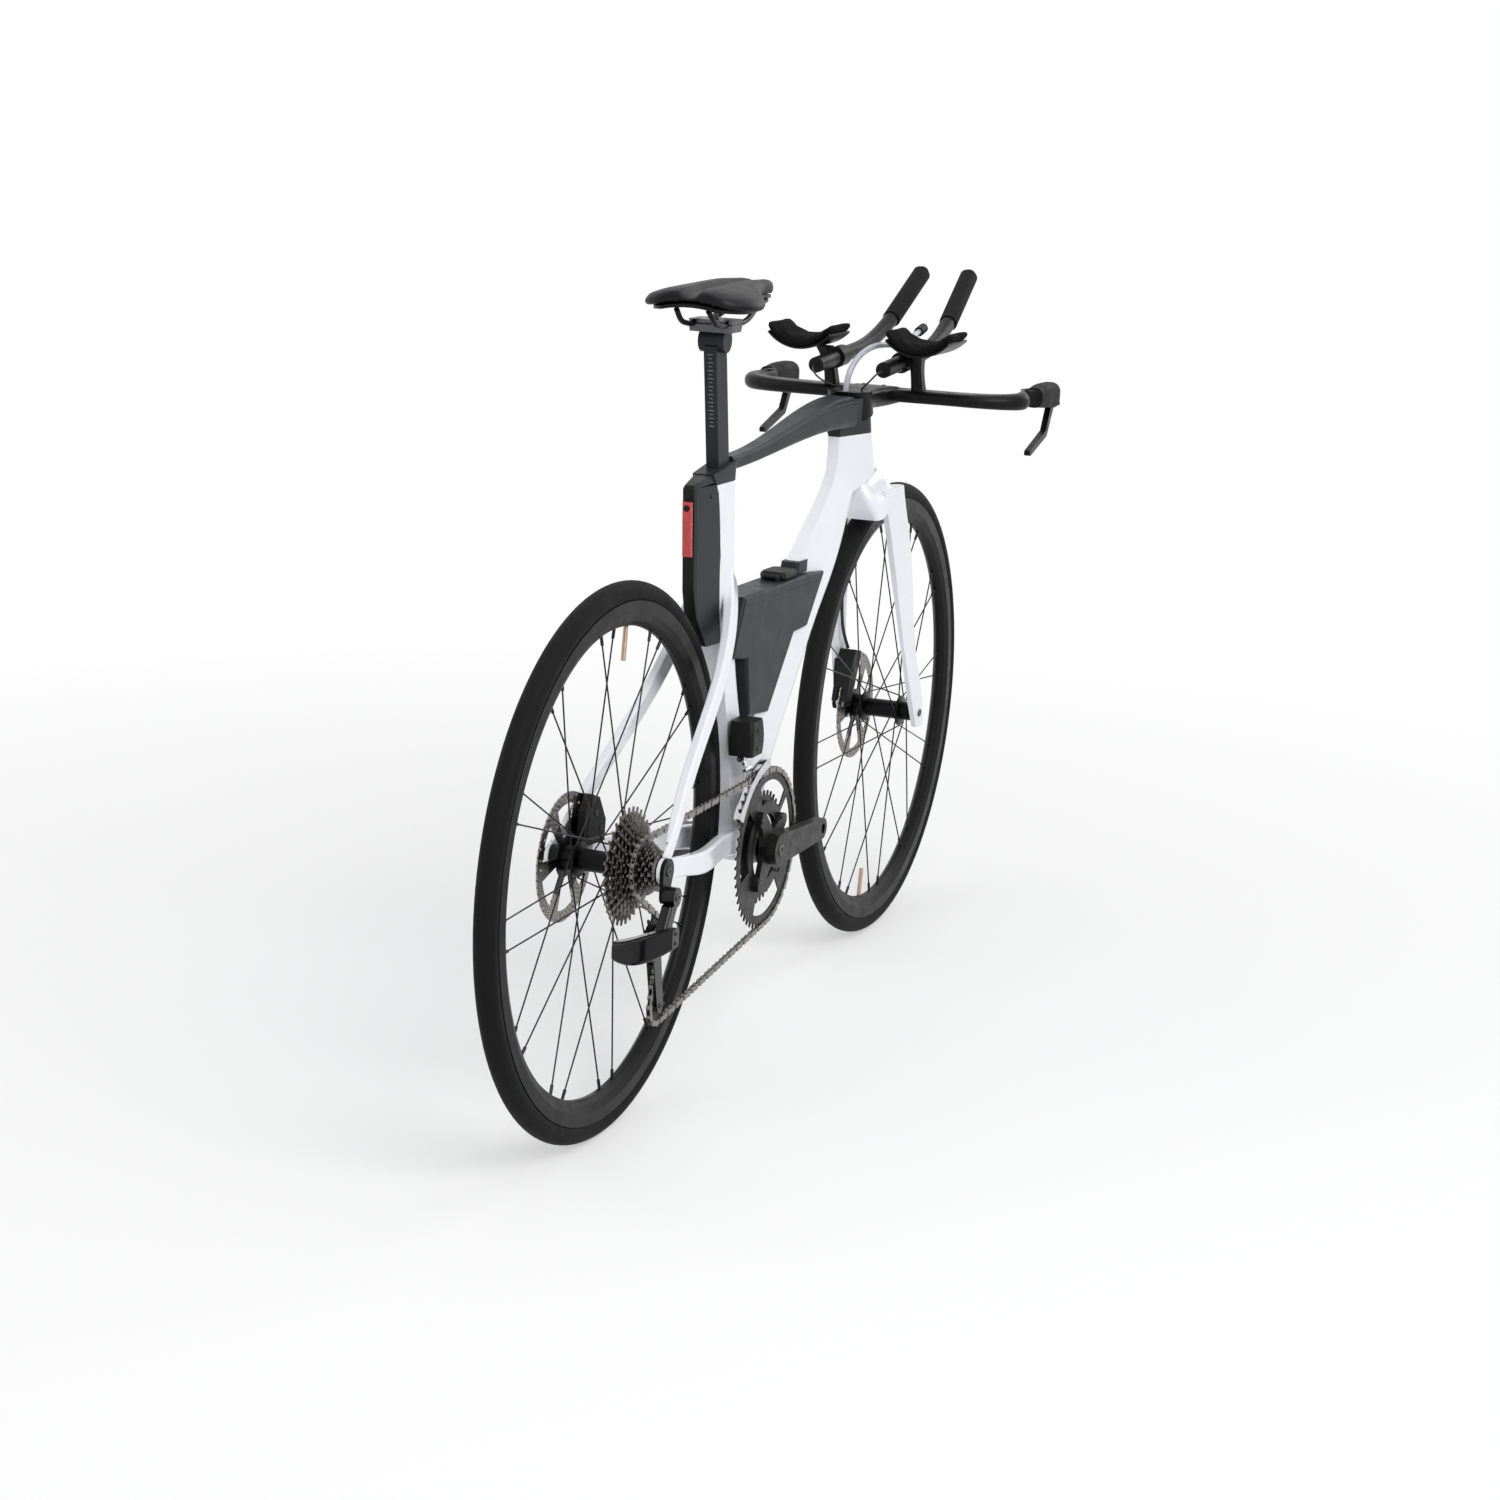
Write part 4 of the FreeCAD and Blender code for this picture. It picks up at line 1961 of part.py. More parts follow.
def cockpit_parts():
    fork()
    cockpit()
    hoods()
    levers()
    extensions()
    brackets()
    arm_pads()
    cords()


def check_document():
    doc.recompute()
    failed = [obj.Label for obj in doc.Objects if "Invalid" in obj.State or "Error" in obj.State]
    for label, obj in NODES.items():
        shape = obj.Shape
        if shape.isNull() or not shape.isValid() or not shape.Solids:
            failed.append(f"{label} shape")
    if failed:
        raise RuntimeError("failed: " + ", ".join(failed))


def write_parts():
    os.makedirs("parts", exist_ok=True)
    for label, obj in NODES.items():
        obj.Shape.exportStep(os.path.join("parts", f"{label}.step"))


wheels()
frame()
drive()
cockpit_parts()
brakes()
check_document()
write_parts()
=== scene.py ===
"""Dresses the time trial bike: finishes, hoses, padded covers, small fittings and the studio."""

import math

import bmesh
import bpy
from bpy.props import FloatProperty, FloatVectorProperty, IntProperty, PointerProperty
from mathutils import Matrix, Vector


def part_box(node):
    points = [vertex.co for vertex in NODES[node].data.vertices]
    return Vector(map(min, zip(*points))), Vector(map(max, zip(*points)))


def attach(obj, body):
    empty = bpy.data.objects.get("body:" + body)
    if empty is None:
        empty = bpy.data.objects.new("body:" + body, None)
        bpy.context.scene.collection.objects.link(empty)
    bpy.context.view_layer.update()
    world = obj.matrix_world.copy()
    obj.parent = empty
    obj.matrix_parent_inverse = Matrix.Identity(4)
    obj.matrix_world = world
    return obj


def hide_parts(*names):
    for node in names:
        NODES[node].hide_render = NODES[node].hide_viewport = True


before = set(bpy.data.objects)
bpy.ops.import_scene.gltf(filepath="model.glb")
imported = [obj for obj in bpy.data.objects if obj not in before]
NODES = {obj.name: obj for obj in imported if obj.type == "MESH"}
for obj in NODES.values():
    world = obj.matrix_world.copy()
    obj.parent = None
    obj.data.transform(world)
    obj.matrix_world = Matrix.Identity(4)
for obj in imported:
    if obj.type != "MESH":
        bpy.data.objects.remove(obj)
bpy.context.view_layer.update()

bl_info = {
    "name": "Time Trial Bike",
    "version": (1, 0, 0),
    "blender": (4, 5, 0),
    "location": "View3D > Sidebar > Bike",
    "description": "Finishes, soft covers, hoses and fittings for a time trial bike",
    "category": "Object",
}

REAR_AXLE = Vector((-0.5023, 0.0, 0.34))
FRONT_AXLE = Vector((0.5023, 0.0, 0.34))
BRACKET = Vector((-0.09144, 0.0, 0.2687))
# Radii about the axles: inside of the rim, crown and moulded ring of the tyre, disc carrier, lockring
RIM_INNER = 0.2852
CROWN_RADIUS = 0.329
RING_RADIUS = 0.3235
RING_HALF = 0.0006
CARRIER_RADIUS = 0.048
LOCKRING_RADIUS = 0.019
# The tyre's shoulders, as distances from its middle
SHOULDER_IN = 0.0056
SHOULDER_OUT = 0.0105
# The extension's run from its bend to its tip, in the side view, and its distance from the middle
GRIP_AXIS = Vector((0.8785, 0.0, 0.4777))
GRIP_OFFSET = 0.5154
GRIP_SIDE = 0.0436
PAD_SIDE = 0.088
# Painted seams: half their width, the storage box's panel and spine, the tank's cover
SEAM_HALF = 0.00045
PANEL_FRONT = -0.2725
PANEL_BACK = -0.30
PANEL_LOW = 0.683
PANEL_HIGH = 0.757
SPINE_HALF = 0.0085
COVER_LEVEL = 0.5945
COVER_SLOPE = 0.0175
COVER_BACK = -0.134
COVER_FRONT = 0.150
TANK_REAR = -0.108
TANK_LOW = 0.44
# The skin of a padded piece: edge of its cells, how far it is drawn in first, and its cloth run
SADDLE_CELL = 0.0026
SADDLE_SHRINK = 0.0006
PAD_CELL = 0.0038
PAD_SHRINK = 0.0010
SKIN_PRESSURE = 2.0
SKIN_STIFFNESS = 25
SKIN_FRAMES = 20
# The lamp's ribs and the post's marks
RIB_MARGIN = 0.004
LENS_MARGIN = 0.020
RIB_DEPTH = 0.0012
RIB_WIDTH = 0.0096
RIB_SHARE = 0.55
MARK_START = 0.836
MARK_COUNT = 19
LONG_MARK = 1.7
MARK_SIZE = (0.0003, 0.0042, 0.0006)
# Chainring bolts: distance from the crank's axis and angle of the first one
BOLT_RADIUS = 52
BOLT_START = 42


def colour(name, description, default):
    return FloatVectorProperty(name=name, description=description, default=default, size=3,
                               min=0.0, max=1.0, subtype="COLOR")


def length(name, description, default):
    return FloatProperty(name=name, description=description, default=default, unit="LENGTH")


class BikePaint(bpy.types.PropertyGroup):
    pearl: colour("Pearl paint", "Colour of the lower frame and the fork", (0.77, 0.775, 0.82))
    slate: colour("Slate paint", "Colour of the top tube, post, box and tank", (0.019, 0.0205, 0.025))
    carbon: colour("Carbon black", "Colour of the rims, bar and extensions", (0.0055, 0.0055, 0.006))
    tyre: colour("Tyre rubber", "Colour of the tyres", (0.0055, 0.0055, 0.006))
    plastic: colour("Moulded plastic", "Colour of the small black housings", (0.0055, 0.0055, 0.006))
    cover: colour("Saddle cover", "Colour of the saddle cover", (0.0105, 0.0105, 0.012))
    foam: colour("Arm rest foam", "Colour of the arm rest covers", (0.0045, 0.0043, 0.0043))
    steel: colour("Bare steel", "Colour of chain, cogs and discs", (0.34, 0.325, 0.295))
    crank: colour("Crank grey", "Colour of the crank arms", (0.034, 0.033, 0.032))
    lens: colour("Lamp lens", "Colour of the rear lamp lens", (0.55, 0.018, 0.012))
    hose: colour("Drink hose", "Colour of the drink hose", (0.56, 0.57, 0.64))
    brass: colour("Valve brass", "Colour of the tyre valves", (0.46, 0.32, 0.24))


class BikeSizes(bpy.types.PropertyGroup):
    hose_diameter: length("Drink hose", "Outside diameter of the drink hose", 0.0085)
    brake_diameter: length("Brake hose", "Outside diameter of the brake hose", 0.005)
    wire_diameter: length("Shift wire", "Outside diameter of a shift wire", 0.0026)
    saddle_swell: length("Saddle swell", "Most that the saddle cover may swell", 0.0012)
    pad_swell: length("Pad swell", "Most that an arm rest cover may swell", 0.003)
    screw_height: length("Screw head height", "How far a screw head stands out", 0.0016)
    socket_share: FloatProperty(name="Screw socket", description="Socket as a share of the head",
                                default=0.56)
    rib_pitch: length("Lens rib pitch", "Spacing of the ribs on the lamp lens", 0.0034)
    tick_pitch: length("Post mark pitch", "Spacing of the height marks on the post", 0.005)
    wrap_pitch: length("Grip wrap pitch", "Width of one turn of the grip wrap", 0.013)
    bolt_count: IntProperty(name="Ring bolts", description="Bolts that hold the chainrings", default=4)


class BikeStudio(bpy.types.PropertyGroup):
    camera_place: FloatVectorProperty(name="Camera place", description="Where the camera stands",
                                      default=(-3.64653, -1.37080, 1.28968), subtype="TRANSLATION")
    camera_yaw: FloatProperty(name="Camera yaw", description="Heading from straight ahead",
                              default=0.362815, unit="ROTATION")
    camera_pitch: FloatProperty(name="Camera pitch", description="How far the camera looks down",
                                default=0.230325, unit="ROTATION")
    camera_roll: FloatProperty(name="Camera roll", description="Turn about the line of sight",
                               default=-0.042892, unit="ROTATION")
    lens: FloatProperty(name="Lens", description="Focal length in millimetres", default=71.209)
    floor: colour("Floor", "Colour of the floor", (0.93, 0.93, 0.93))


def link(obj):
    bpy.context.scene.collection.objects.link(obj)
    return obj


def mesh_object(name, mesh):
    return link(bpy.data.objects.new(name, mesh))


def evaluated_copy(obj, name):
    """A plain mesh of the object with its modifiers applied."""
    graph = bpy.context.evaluated_depsgraph_get()
    mesh = bpy.data.meshes.new_from_object(obj.evaluated_get(graph))
    mesh.name = name
    return mesh


class Tree:
    """Short ways to add and join the nodes of a tree."""

    def __init__(self, tree):
        self.tree = tree

    def add(self, kind, links=(), **settings):
        made = self.tree.nodes.new(kind)
        for key, value in settings.items():
            setattr(made, key, value)
        for key, source in links:
            if isinstance(source, bpy.types.NodeSocket):
                self.tree.links.new(source, made.inputs[key])
            else:
                made.inputs[key].default_value = source
        return made

    def maths(self, operation, first, second):
        return self.add("ShaderNodeMath", ((0, first), (1, second)), operation=operation).outputs[0]

    def seen_rays(self):
        """One on rays that are seen straight, in a reflection or through a clear piece."""
        rays = self.add("ShaderNodeLightPath").outputs
        straight = self.maths("MAXIMUM", rays["Is Camera Ray"], rays["Is Glossy Ray"])
        return self.maths("MAXIMUM", straight, rays["Is Transmission Ray"])


class Finish:
    """A principled material with short ways to add variation, grain and masks."""

    def __init__(self, name, base, rough, metallic=0.0):
        self.material = bpy.data.materials.new(name)
        self.material.use_nodes = True
        self.tree = self.material.node_tree
        self.shader = self.tree.nodes["Principled BSDF"]
        self.shader.inputs["Metallic"].default_value = metallic
        self.shader.inputs["Roughness"].default_value = rough
        self.shader.inputs["Base Color"].default_value = (*base, 1.0)
        self.base = tuple(base)
        self.rough = rough
        self.coords = self.add("ShaderNodeTexCoord").outputs["Object"]

    def add(self, kind, **settings):
        made = self.tree.nodes.new(kind)
        for key, value in settings.items():
            setattr(made, key, value)
        return made

    def join(self, source, target):
        self.tree.links.new(source, target)

    def set(self, **values):
        for key, value in values.items():
            socket = self.shader.inputs[key.replace("_", " ")]
            socket.default_value = (*value, 1.0) if isinstance(value, (tuple, list)) else value
        return self

    def maths(self, operation, first, second=0.0, third=0.0):
        made = self.add("ShaderNodeMath", operation=operation)
        for socket, value in zip(made.inputs, (first, second, third)):
            if isinstance(value, (int, float)):
                socket.default_value = value
            else:
                self.join(value, socket)
        return made.outputs[0]

    def noise(self, scale, detail=4.0, stretch=(1, 1, 1)):
        mapping = self.add("ShaderNodeMapping")
        mapping.inputs["Scale"].default_value = stretch
        self.join(self.coords, mapping.inputs["Vector"])
        texture = self.add("ShaderNodeTexNoise")
        texture.inputs["Scale"].default_value = scale
        texture.inputs["Detail"].default_value = detail
        self.join(mapping.outputs[0], texture.inputs["Vector"])
        return texture.outputs["Fac"]

    def spread(self, value, low, high, span=(0.3, 0.7)):
        made = self.add("ShaderNodeMapRange")
        for name, number in (("From Min", span[0]), ("From Max", span[1]), ("To Min", low), ("To Max", high)):
            made.inputs[name].default_value = number
        self.join(value, made.inputs["Value"])
        return made.outputs[0]

    def blend(self, factor, first, second):
        """Colour that goes from first to second; either may be a colour or a socket."""
        made = self.add("ShaderNodeMix", data_type="RGBA")
        self.join(factor, made.inputs["Factor"])
        for socket, value in ((made.inputs[6], first), (made.inputs[7], second)):
            if isinstance(value, (tuple, list)):
                socket.default_value = (*value, 1.0)
            else:
                self.join(value, socket)
        return made.outputs[2]

    def vary(self, scale, amount=0.15, rough=0.08):
        """Soft variation of colour and gloss over the surface."""
        value = self.noise(scale)
        darker = tuple(c * (1 - amount) for c in self.base)
        lighter = tuple(min(1.0, c * (1 + amount)) for c in self.base)
        self.colour = self.blend(self.spread(value, 0, 1), darker, lighter)
        self.join(self.colour, self.shader.inputs["Base Color"])
        gloss = self.spread(value, max(0.02, self.rough - rough), self.rough + rough)
        self.join(gloss, self.shader.inputs["Roughness"])
        return self

    def paint(self, factor, second):
        """Paints a second colour where the factor is one."""
        self.colour = self.blend(factor, self.colour, second)
        self.join(self.colour, self.shader.inputs["Base Color"])
        return self

    def relief(self, height, strength, distance):
        bump = self.add("ShaderNodeBump")
        bump.inputs["Strength"].default_value = strength
        bump.inputs["Distance"].default_value = distance
        self.join(height, bump.inputs["Height"])
        self.join(bump.outputs[0], self.shader.inputs["Normal"])
        return self

    def axes(self, vector):
        parts = self.add("ShaderNodeSeparateXYZ")
        self.join(vector, parts.inputs[0])
        return parts.outputs

    def strip(self, across, place, along, start, end):
        """One on a narrow line at a place across, between two ends along."""
        away = self.maths("ABSOLUTE", self.maths("SUBTRACT", across, place))
        near = self.maths("LESS_THAN", away, SEAM_HALF)
        within = self.maths("MULTIPLY", self.maths("GREATER_THAN", along, start),
                            self.maths("LESS_THAN", along, end))
        return self.maths("MULTIPLY", near, within)

    def round_wheel(self, centre):
        """Radius, angle and side distance about a wheel axle."""
        moved = self.add("ShaderNodeVectorMath", operation="SUBTRACT")
        moved.inputs[1].default_value = centre
        self.join(self.coords, moved.inputs[0])
        x, y, z = self.axes(moved.outputs[0])
        square = self.maths("ADD", self.maths("MULTIPLY", x, x), self.maths("MULTIPLY", z, z))
        return self.maths("SQRT", square), self.maths("ARCTAN2", z, x), self.maths("ABSOLUTE", y)


def pearl_paint(paint):
    """Clear-coated white with a faint lilac flake."""
    made = Finish("pearl paint", paint.pearl, 0.34).vary(26, 0.03, 0.05)
    flake = made.spread(made.noise(2600, 1.0), 0, 1, (0.45, 0.75))
    made.paint(made.maths("MULTIPLY", flake, 0.35), (0.87, 0.86, 0.93))
    made.relief(made.noise(1900, 1.0), 0.04, 0.0002)
    return made.set(Coat_Weight=0.75, Coat_Roughness=0.09, Specular_IOR_Level=0.5).material


def slate_paint(paint):
    made = Finish("slate paint", paint.slate, 0.40).vary(34, 0.10, 0.06)
    made.relief(made.noise(1500, 2.0), 0.06, 0.0002)
    return made.set(Coat_Weight=0.02, Coat_Roughness=0.3, Specular_IOR_Level=0.13).material


def box_paint(paint):
    """Slate sides with a panel seam beside the lamp, and a gloss black spine down the rear."""
    made = Finish("box paint", paint.slate, 0.40).vary(34, 0.10, 0.06)
    x, y, z = made.axes(made.coords)
    spine = made.maths("LESS_THAN", made.maths("ABSOLUTE", y), SPINE_HALF)
    upright = made.strip(x, PANEL_FRONT, z, PANEL_LOW, PANEL_HIGH)
    foot = made.strip(z, PANEL_LOW, x, PANEL_BACK, PANEL_FRONT)
    seam = made.maths("MAXIMUM", upright, foot)
    made.paint(seam, (0.004, 0.004, 0.005))
    made.paint(spine, (0.006, 0.006, 0.007))
    made.relief(made.maths("MULTIPLY", seam, -1.0), 0.6, 0.0006)
    return made.set(Coat_Weight=0.03, Coat_Roughness=0.2, Specular_IOR_Level=0.16).material


def tank_paint(paint):
    """Slate with the seam of the tank's cover a little below its top edge."""
    made = Finish("tank paint", paint.slate, 0.40).vary(34, 0.10, 0.06)
    x, _, z = made.axes(made.coords)
    level = made.maths("ADD", z, made.maths("MULTIPLY", x, COVER_SLOPE))
    cover = made.strip(level, COVER_LEVEL, x, COVER_BACK, COVER_FRONT)
    rear = made.strip(x, TANK_REAR, z, TANK_LOW, COVER_LEVEL)
    seam = made.maths("MAXIMUM", cover, rear)
    made.paint(seam, (0.005, 0.005, 0.006))
    made.relief(made.maths("MULTIPLY", seam, -1.0), 0.6, 0.0006)
    return made.set(Coat_Weight=0.02, Coat_Roughness=0.3, Specular_IOR_Level=0.13).material


def wrap_finish(paint, pitch):
    """Grip tape wound round the extension: a step at each turn of the wrap, and a fine pebble."""
    made = Finish("grip tape", paint.plastic, 0.66).vary(60, 0.2, 0.07)
    x, y, z = made.axes(made.coords)
    along = made.maths("ADD", made.maths("MULTIPLY", x, GRIP_AXIS.x), made.maths("MULTIPLY", z, GRIP_AXIS.z))
    side = made.maths("SUBTRACT", made.maths("ABSOLUTE", y), GRIP_SIDE)
    across = made.maths("SUBTRACT", made.maths("MULTIPLY", z, GRIP_AXIS.x),
                        made.maths("ADD", made.maths("MULTIPLY", x, GRIP_AXIS.z), GRIP_OFFSET))
    turn = made.maths("DIVIDE", made.maths("ARCTAN2", across, side), 2 * math.pi)
    wound = made.maths("FRACT", made.maths("ADD", made.maths("DIVIDE", along, pitch), turn))
    edge = made.maths("LESS_THAN", wound, 0.10)
    made.paint(edge, (0.003, 0.003, 0.003))
    height = made.maths("ADD", wound, made.maths("MULTIPLY", made.noise(900, 2.0), 0.3))
    made.relief(height, 0.6, 0.0011)
    return made.set(Specular_IOR_Level=0.15).material


def carbon_finish(paint):
    """Satin black over a faint short-fibre mottle."""
    made = Finish("carbon", paint.carbon, 0.36).vary(60, 0.25, 0.07)
    made.relief(made.noise(420, 3.0), 0.10, 0.0003)
    return made.set(Coat_Weight=0.02, Coat_Roughness=0.25, Specular_IOR_Level=0.14).material


def rim_finish(name, centre, paint):
    """Satin black, with a brass valve inside the rim."""
    made = Finish(name, paint.carbon, 0.38).vary(48, 0.25, 0.07)
    radius, _, _ = made.round_wheel(centre)
    valve = made.maths("LESS_THAN", radius, RIM_INNER)
    made.paint(valve, tuple(paint.brass))
    made.join(valve, made.shader.inputs["Metallic"])
    thread = made.maths("SINE", made.maths("MULTIPLY", radius, 6200))
    made.relief(made.maths("MULTIPLY", thread, valve), 0.5, 0.0004)
    return made.set(Specular_IOR_Level=0.12).material


def tyre_finish(name, centre, paint):
    """Matt rubber, smooth crown, slanted cuts on the shoulders and a fine moulded sidewall."""
    made = Finish(name, paint.tyre, 0.68).vary(38, 0.22, 0.08)
    radius, angle, side = made.round_wheel(centre)
    shoulder = made.maths("MULTIPLY", made.maths("GREATER_THAN", side, SHOULDER_IN),
                          made.maths("LESS_THAN", side, SHOULDER_OUT))
    outer = made.maths("GREATER_THAN", radius, CROWN_RADIUS)
    slant = made.maths("ADD", made.maths("MULTIPLY", angle, 150), made.maths("MULTIPLY", side, 700))
    cuts = made.maths("GREATER_THAN", made.maths("SINE", slant), 0.45)
    cut = made.maths("MULTIPLY", made.maths("MULTIPLY", shoulder, outer), cuts)
    away = made.maths("ABSOLUTE", made.maths("SUBTRACT", radius, RING_RADIUS))
    ring = made.maths("LESS_THAN", away, RING_HALF)
    depth = made.maths("ADD", made.maths("MULTIPLY", cut, -1.0), made.maths("MULTIPLY", ring, 0.7))
    grain = made.maths("MULTIPLY", made.noise(900, 2.0), 0.4)
    made.relief(made.maths("ADD", depth, grain), 0.55, 0.0009)
    return made.set(Specular_IOR_Level=0.12).material


def metal_finish(name, base, rough, grain=300, stretch=(1, 1, 1), amount=0.12):
    made = Finish(name, base, rough, 1.0).vary(90, amount, 0.10)
    return made.relief(made.noise(grain, 3.0, stretch), 0.12, 0.0003).material


def disc_finish(name, centre, paint):
    """Brushed braking ring with rows of small holes, painted on as dark spots of painted shade, on a black
    carrier.
    """
    made = Finish(name, paint.steel, 0.30, 1.0).vary(80, 0.12, 0.08)
    radius, angle, _ = made.round_wheel(centre)
    carrier = made.maths("LESS_THAN", radius, CARRIER_RADIUS)
    slanted = made.maths("SINE", made.maths("ADD", made.maths("MULTIPLY", angle, 54),
                                            made.maths("MULTIPLY", radius, 520)))
    rows = made.maths("SINE", made.maths("MULTIPLY", radius, 1250))
    # Painted shade: the holes are dark spots painted on the ring, standing in for the shade seen through the
    # openings.
    painted_hole_shade = made.maths("GREATER_THAN", made.maths("MULTIPLY", slanted, rows), 0.45)
    made.paint(painted_hole_shade, (0.03, 0.03, 0.032))
    made.paint(carrier, (0.02, 0.02, 0.022))
    brush = made.maths("SINE", made.maths("MULTIPLY", radius, 9000))
    return made.relief(brush, 0.16, 0.0002).material


def cog_finish(paint):
    """Turned steel cogs round a black lockring."""
    darker = tuple(0.55 * value for value in paint.steel)
    made = Finish("cog steel", darker, 0.3, 1.0).vary(120, 0.18, 0.08)
    radius, _, _ = made.round_wheel(REAR_AXLE)
    made.paint(made.maths("LESS_THAN", radius, LOCKRING_RADIUS), (0.03, 0.03, 0.032))
    turned = made.maths("SINE", made.maths("MULTIPLY", radius, 3000))
    return made.relief(turned, 0.06, 0.0002).material


def plastic_finish(name, base, rough, grain=700, coat=0.0):
    made = Finish(name, base, rough).vary(70, 0.2, 0.07)
    made.relief(made.noise(grain, 2.0), 0.16, 0.0003)
    return made.set(Coat_Weight=coat, Coat_Roughness=0.06, Specular_IOR_Level=0.2).material


def rubber_finish(name, base, scale=520):
    """Moulded rubber with a fine pebble."""
    made = Finish(name, base, 0.62).vary(60, 0.2, 0.07)
    cells = made.add("ShaderNodeTexVoronoi")
    cells.inputs["Scale"].default_value = scale
    made.join(made.coords, cells.inputs["Vector"])
    made.relief(cells.outputs["Distance"], 0.3, 0.0005)
    return made.set(Specular_IOR_Level=0.15).material


def leather_finish(paint):
    """Smooth synthetic leather with a fine grain, with painted shade on the faces round the edge that do not
    face up.
    """
    made = Finish("saddle cover", paint.cover, 0.46).vary(30, 0.18, 0.06)
    cells = made.add("ShaderNodeTexVoronoi", feature="SMOOTH_F1")
    cells.inputs["Scale"].default_value = 640
    made.join(made.coords, cells.inputs["Vector"])
    grain = made.maths("ADD", cells.outputs["Distance"], made.maths("MULTIPLY", made.noise(180, 3.0), 0.6))
    _, _, upward = made.axes(made.add("ShaderNodeNewGeometry").outputs["Normal"])
    # Painted shade: faces turned away from up, round the edge and underneath, are painted darker.
    edge = made.maths("LESS_THAN", upward, 0.3)
    made.paint(edge, (0.004, 0.004, 0.005))
    made.relief(grain, 0.22, 0.0006)
    return made.set(Specular_IOR_Level=0.18).material


def knit_finish(paint):
    """Foam under a knitted cover, embossed with slanted lines that meet along the middle."""
    made = Finish("arm rest cover", paint.foam, 0.82).vary(45, 0.25, 0.05)
    x, y, _ = made.axes(made.coords)
    across = made.maths("ABSOLUTE", made.maths("SUBTRACT", made.maths("ABSOLUTE", y), PAD_SIDE))
    slant = made.maths("ADD", made.maths("MULTIPLY", x, 560), made.maths("MULTIPLY", across, 460))
    lines = made.maths("POWER", made.maths("ABSOLUTE", made.maths("SINE", slant)), 0.35)
    stitch = made.add("ShaderNodeTexVoronoi")
    stitch.inputs["Scale"].default_value = 900
    made.join(made.coords, stitch.inputs["Vector"])
    height = made.maths("ADD", lines, made.maths("MULTIPLY", stitch.outputs["Distance"], 0.35))
    made.relief(height, 0.5, 0.0012)
    return made.set(Specular_IOR_Level=0.06).material


def lens_finish(paint):
    made = Finish("lamp lens", paint.lens, 0.16).vary(120, 0.2, 0.05)
    made.relief(made.noise(300, 1.0), 0.05, 0.0003)
    return made.set(Coat_Weight=0.8, Coat_Roughness=0.05, Transmission_Weight=0.15).material


def hose_finish(paint):
    made = Finish("clear hose", paint.hose, 0.22).vary(60, 0.08, 0.05)
    made.relief(made.noise(160, 2.0), 0.06, 0.0003)
    return made.set(Transmission_Weight=0.35, IOR=1.4, Coat_Weight=0.3, Coat_Roughness=0.1).material


def cable_finish(paint):
    made = Finish("cable jacket", paint.plastic, 0.45).vary(90, 0.2, 0.06)
    return made.relief(made.noise(600, 2.0), 0.12, 0.0002).material


def dress(names, material):
    for name in names.split():
        obj = NODES[name]
        obj.data.materials.clear()
        obj.data.materials.append(material)


# How the floor turns from shaded to white with the distance from the bike
FLOOR_FADE = (("From Min", 0.7), ("From Max", 2.6), ("To Min", 0.4), ("To Max", 1.0))
# Lamps: name, place, size and power
LAMPS = [
    ("key", (-2.8, -3.4, 3.6), 3.5, 170),
    ("fill", (-2.5, 4.0, 3.0), 4.0, 30),
    ("top", (0.4, -0.4, 5.0), 4.5, 45),
    ("rim", (4.2, -1.8, 2.6), 2.5, 25),
]


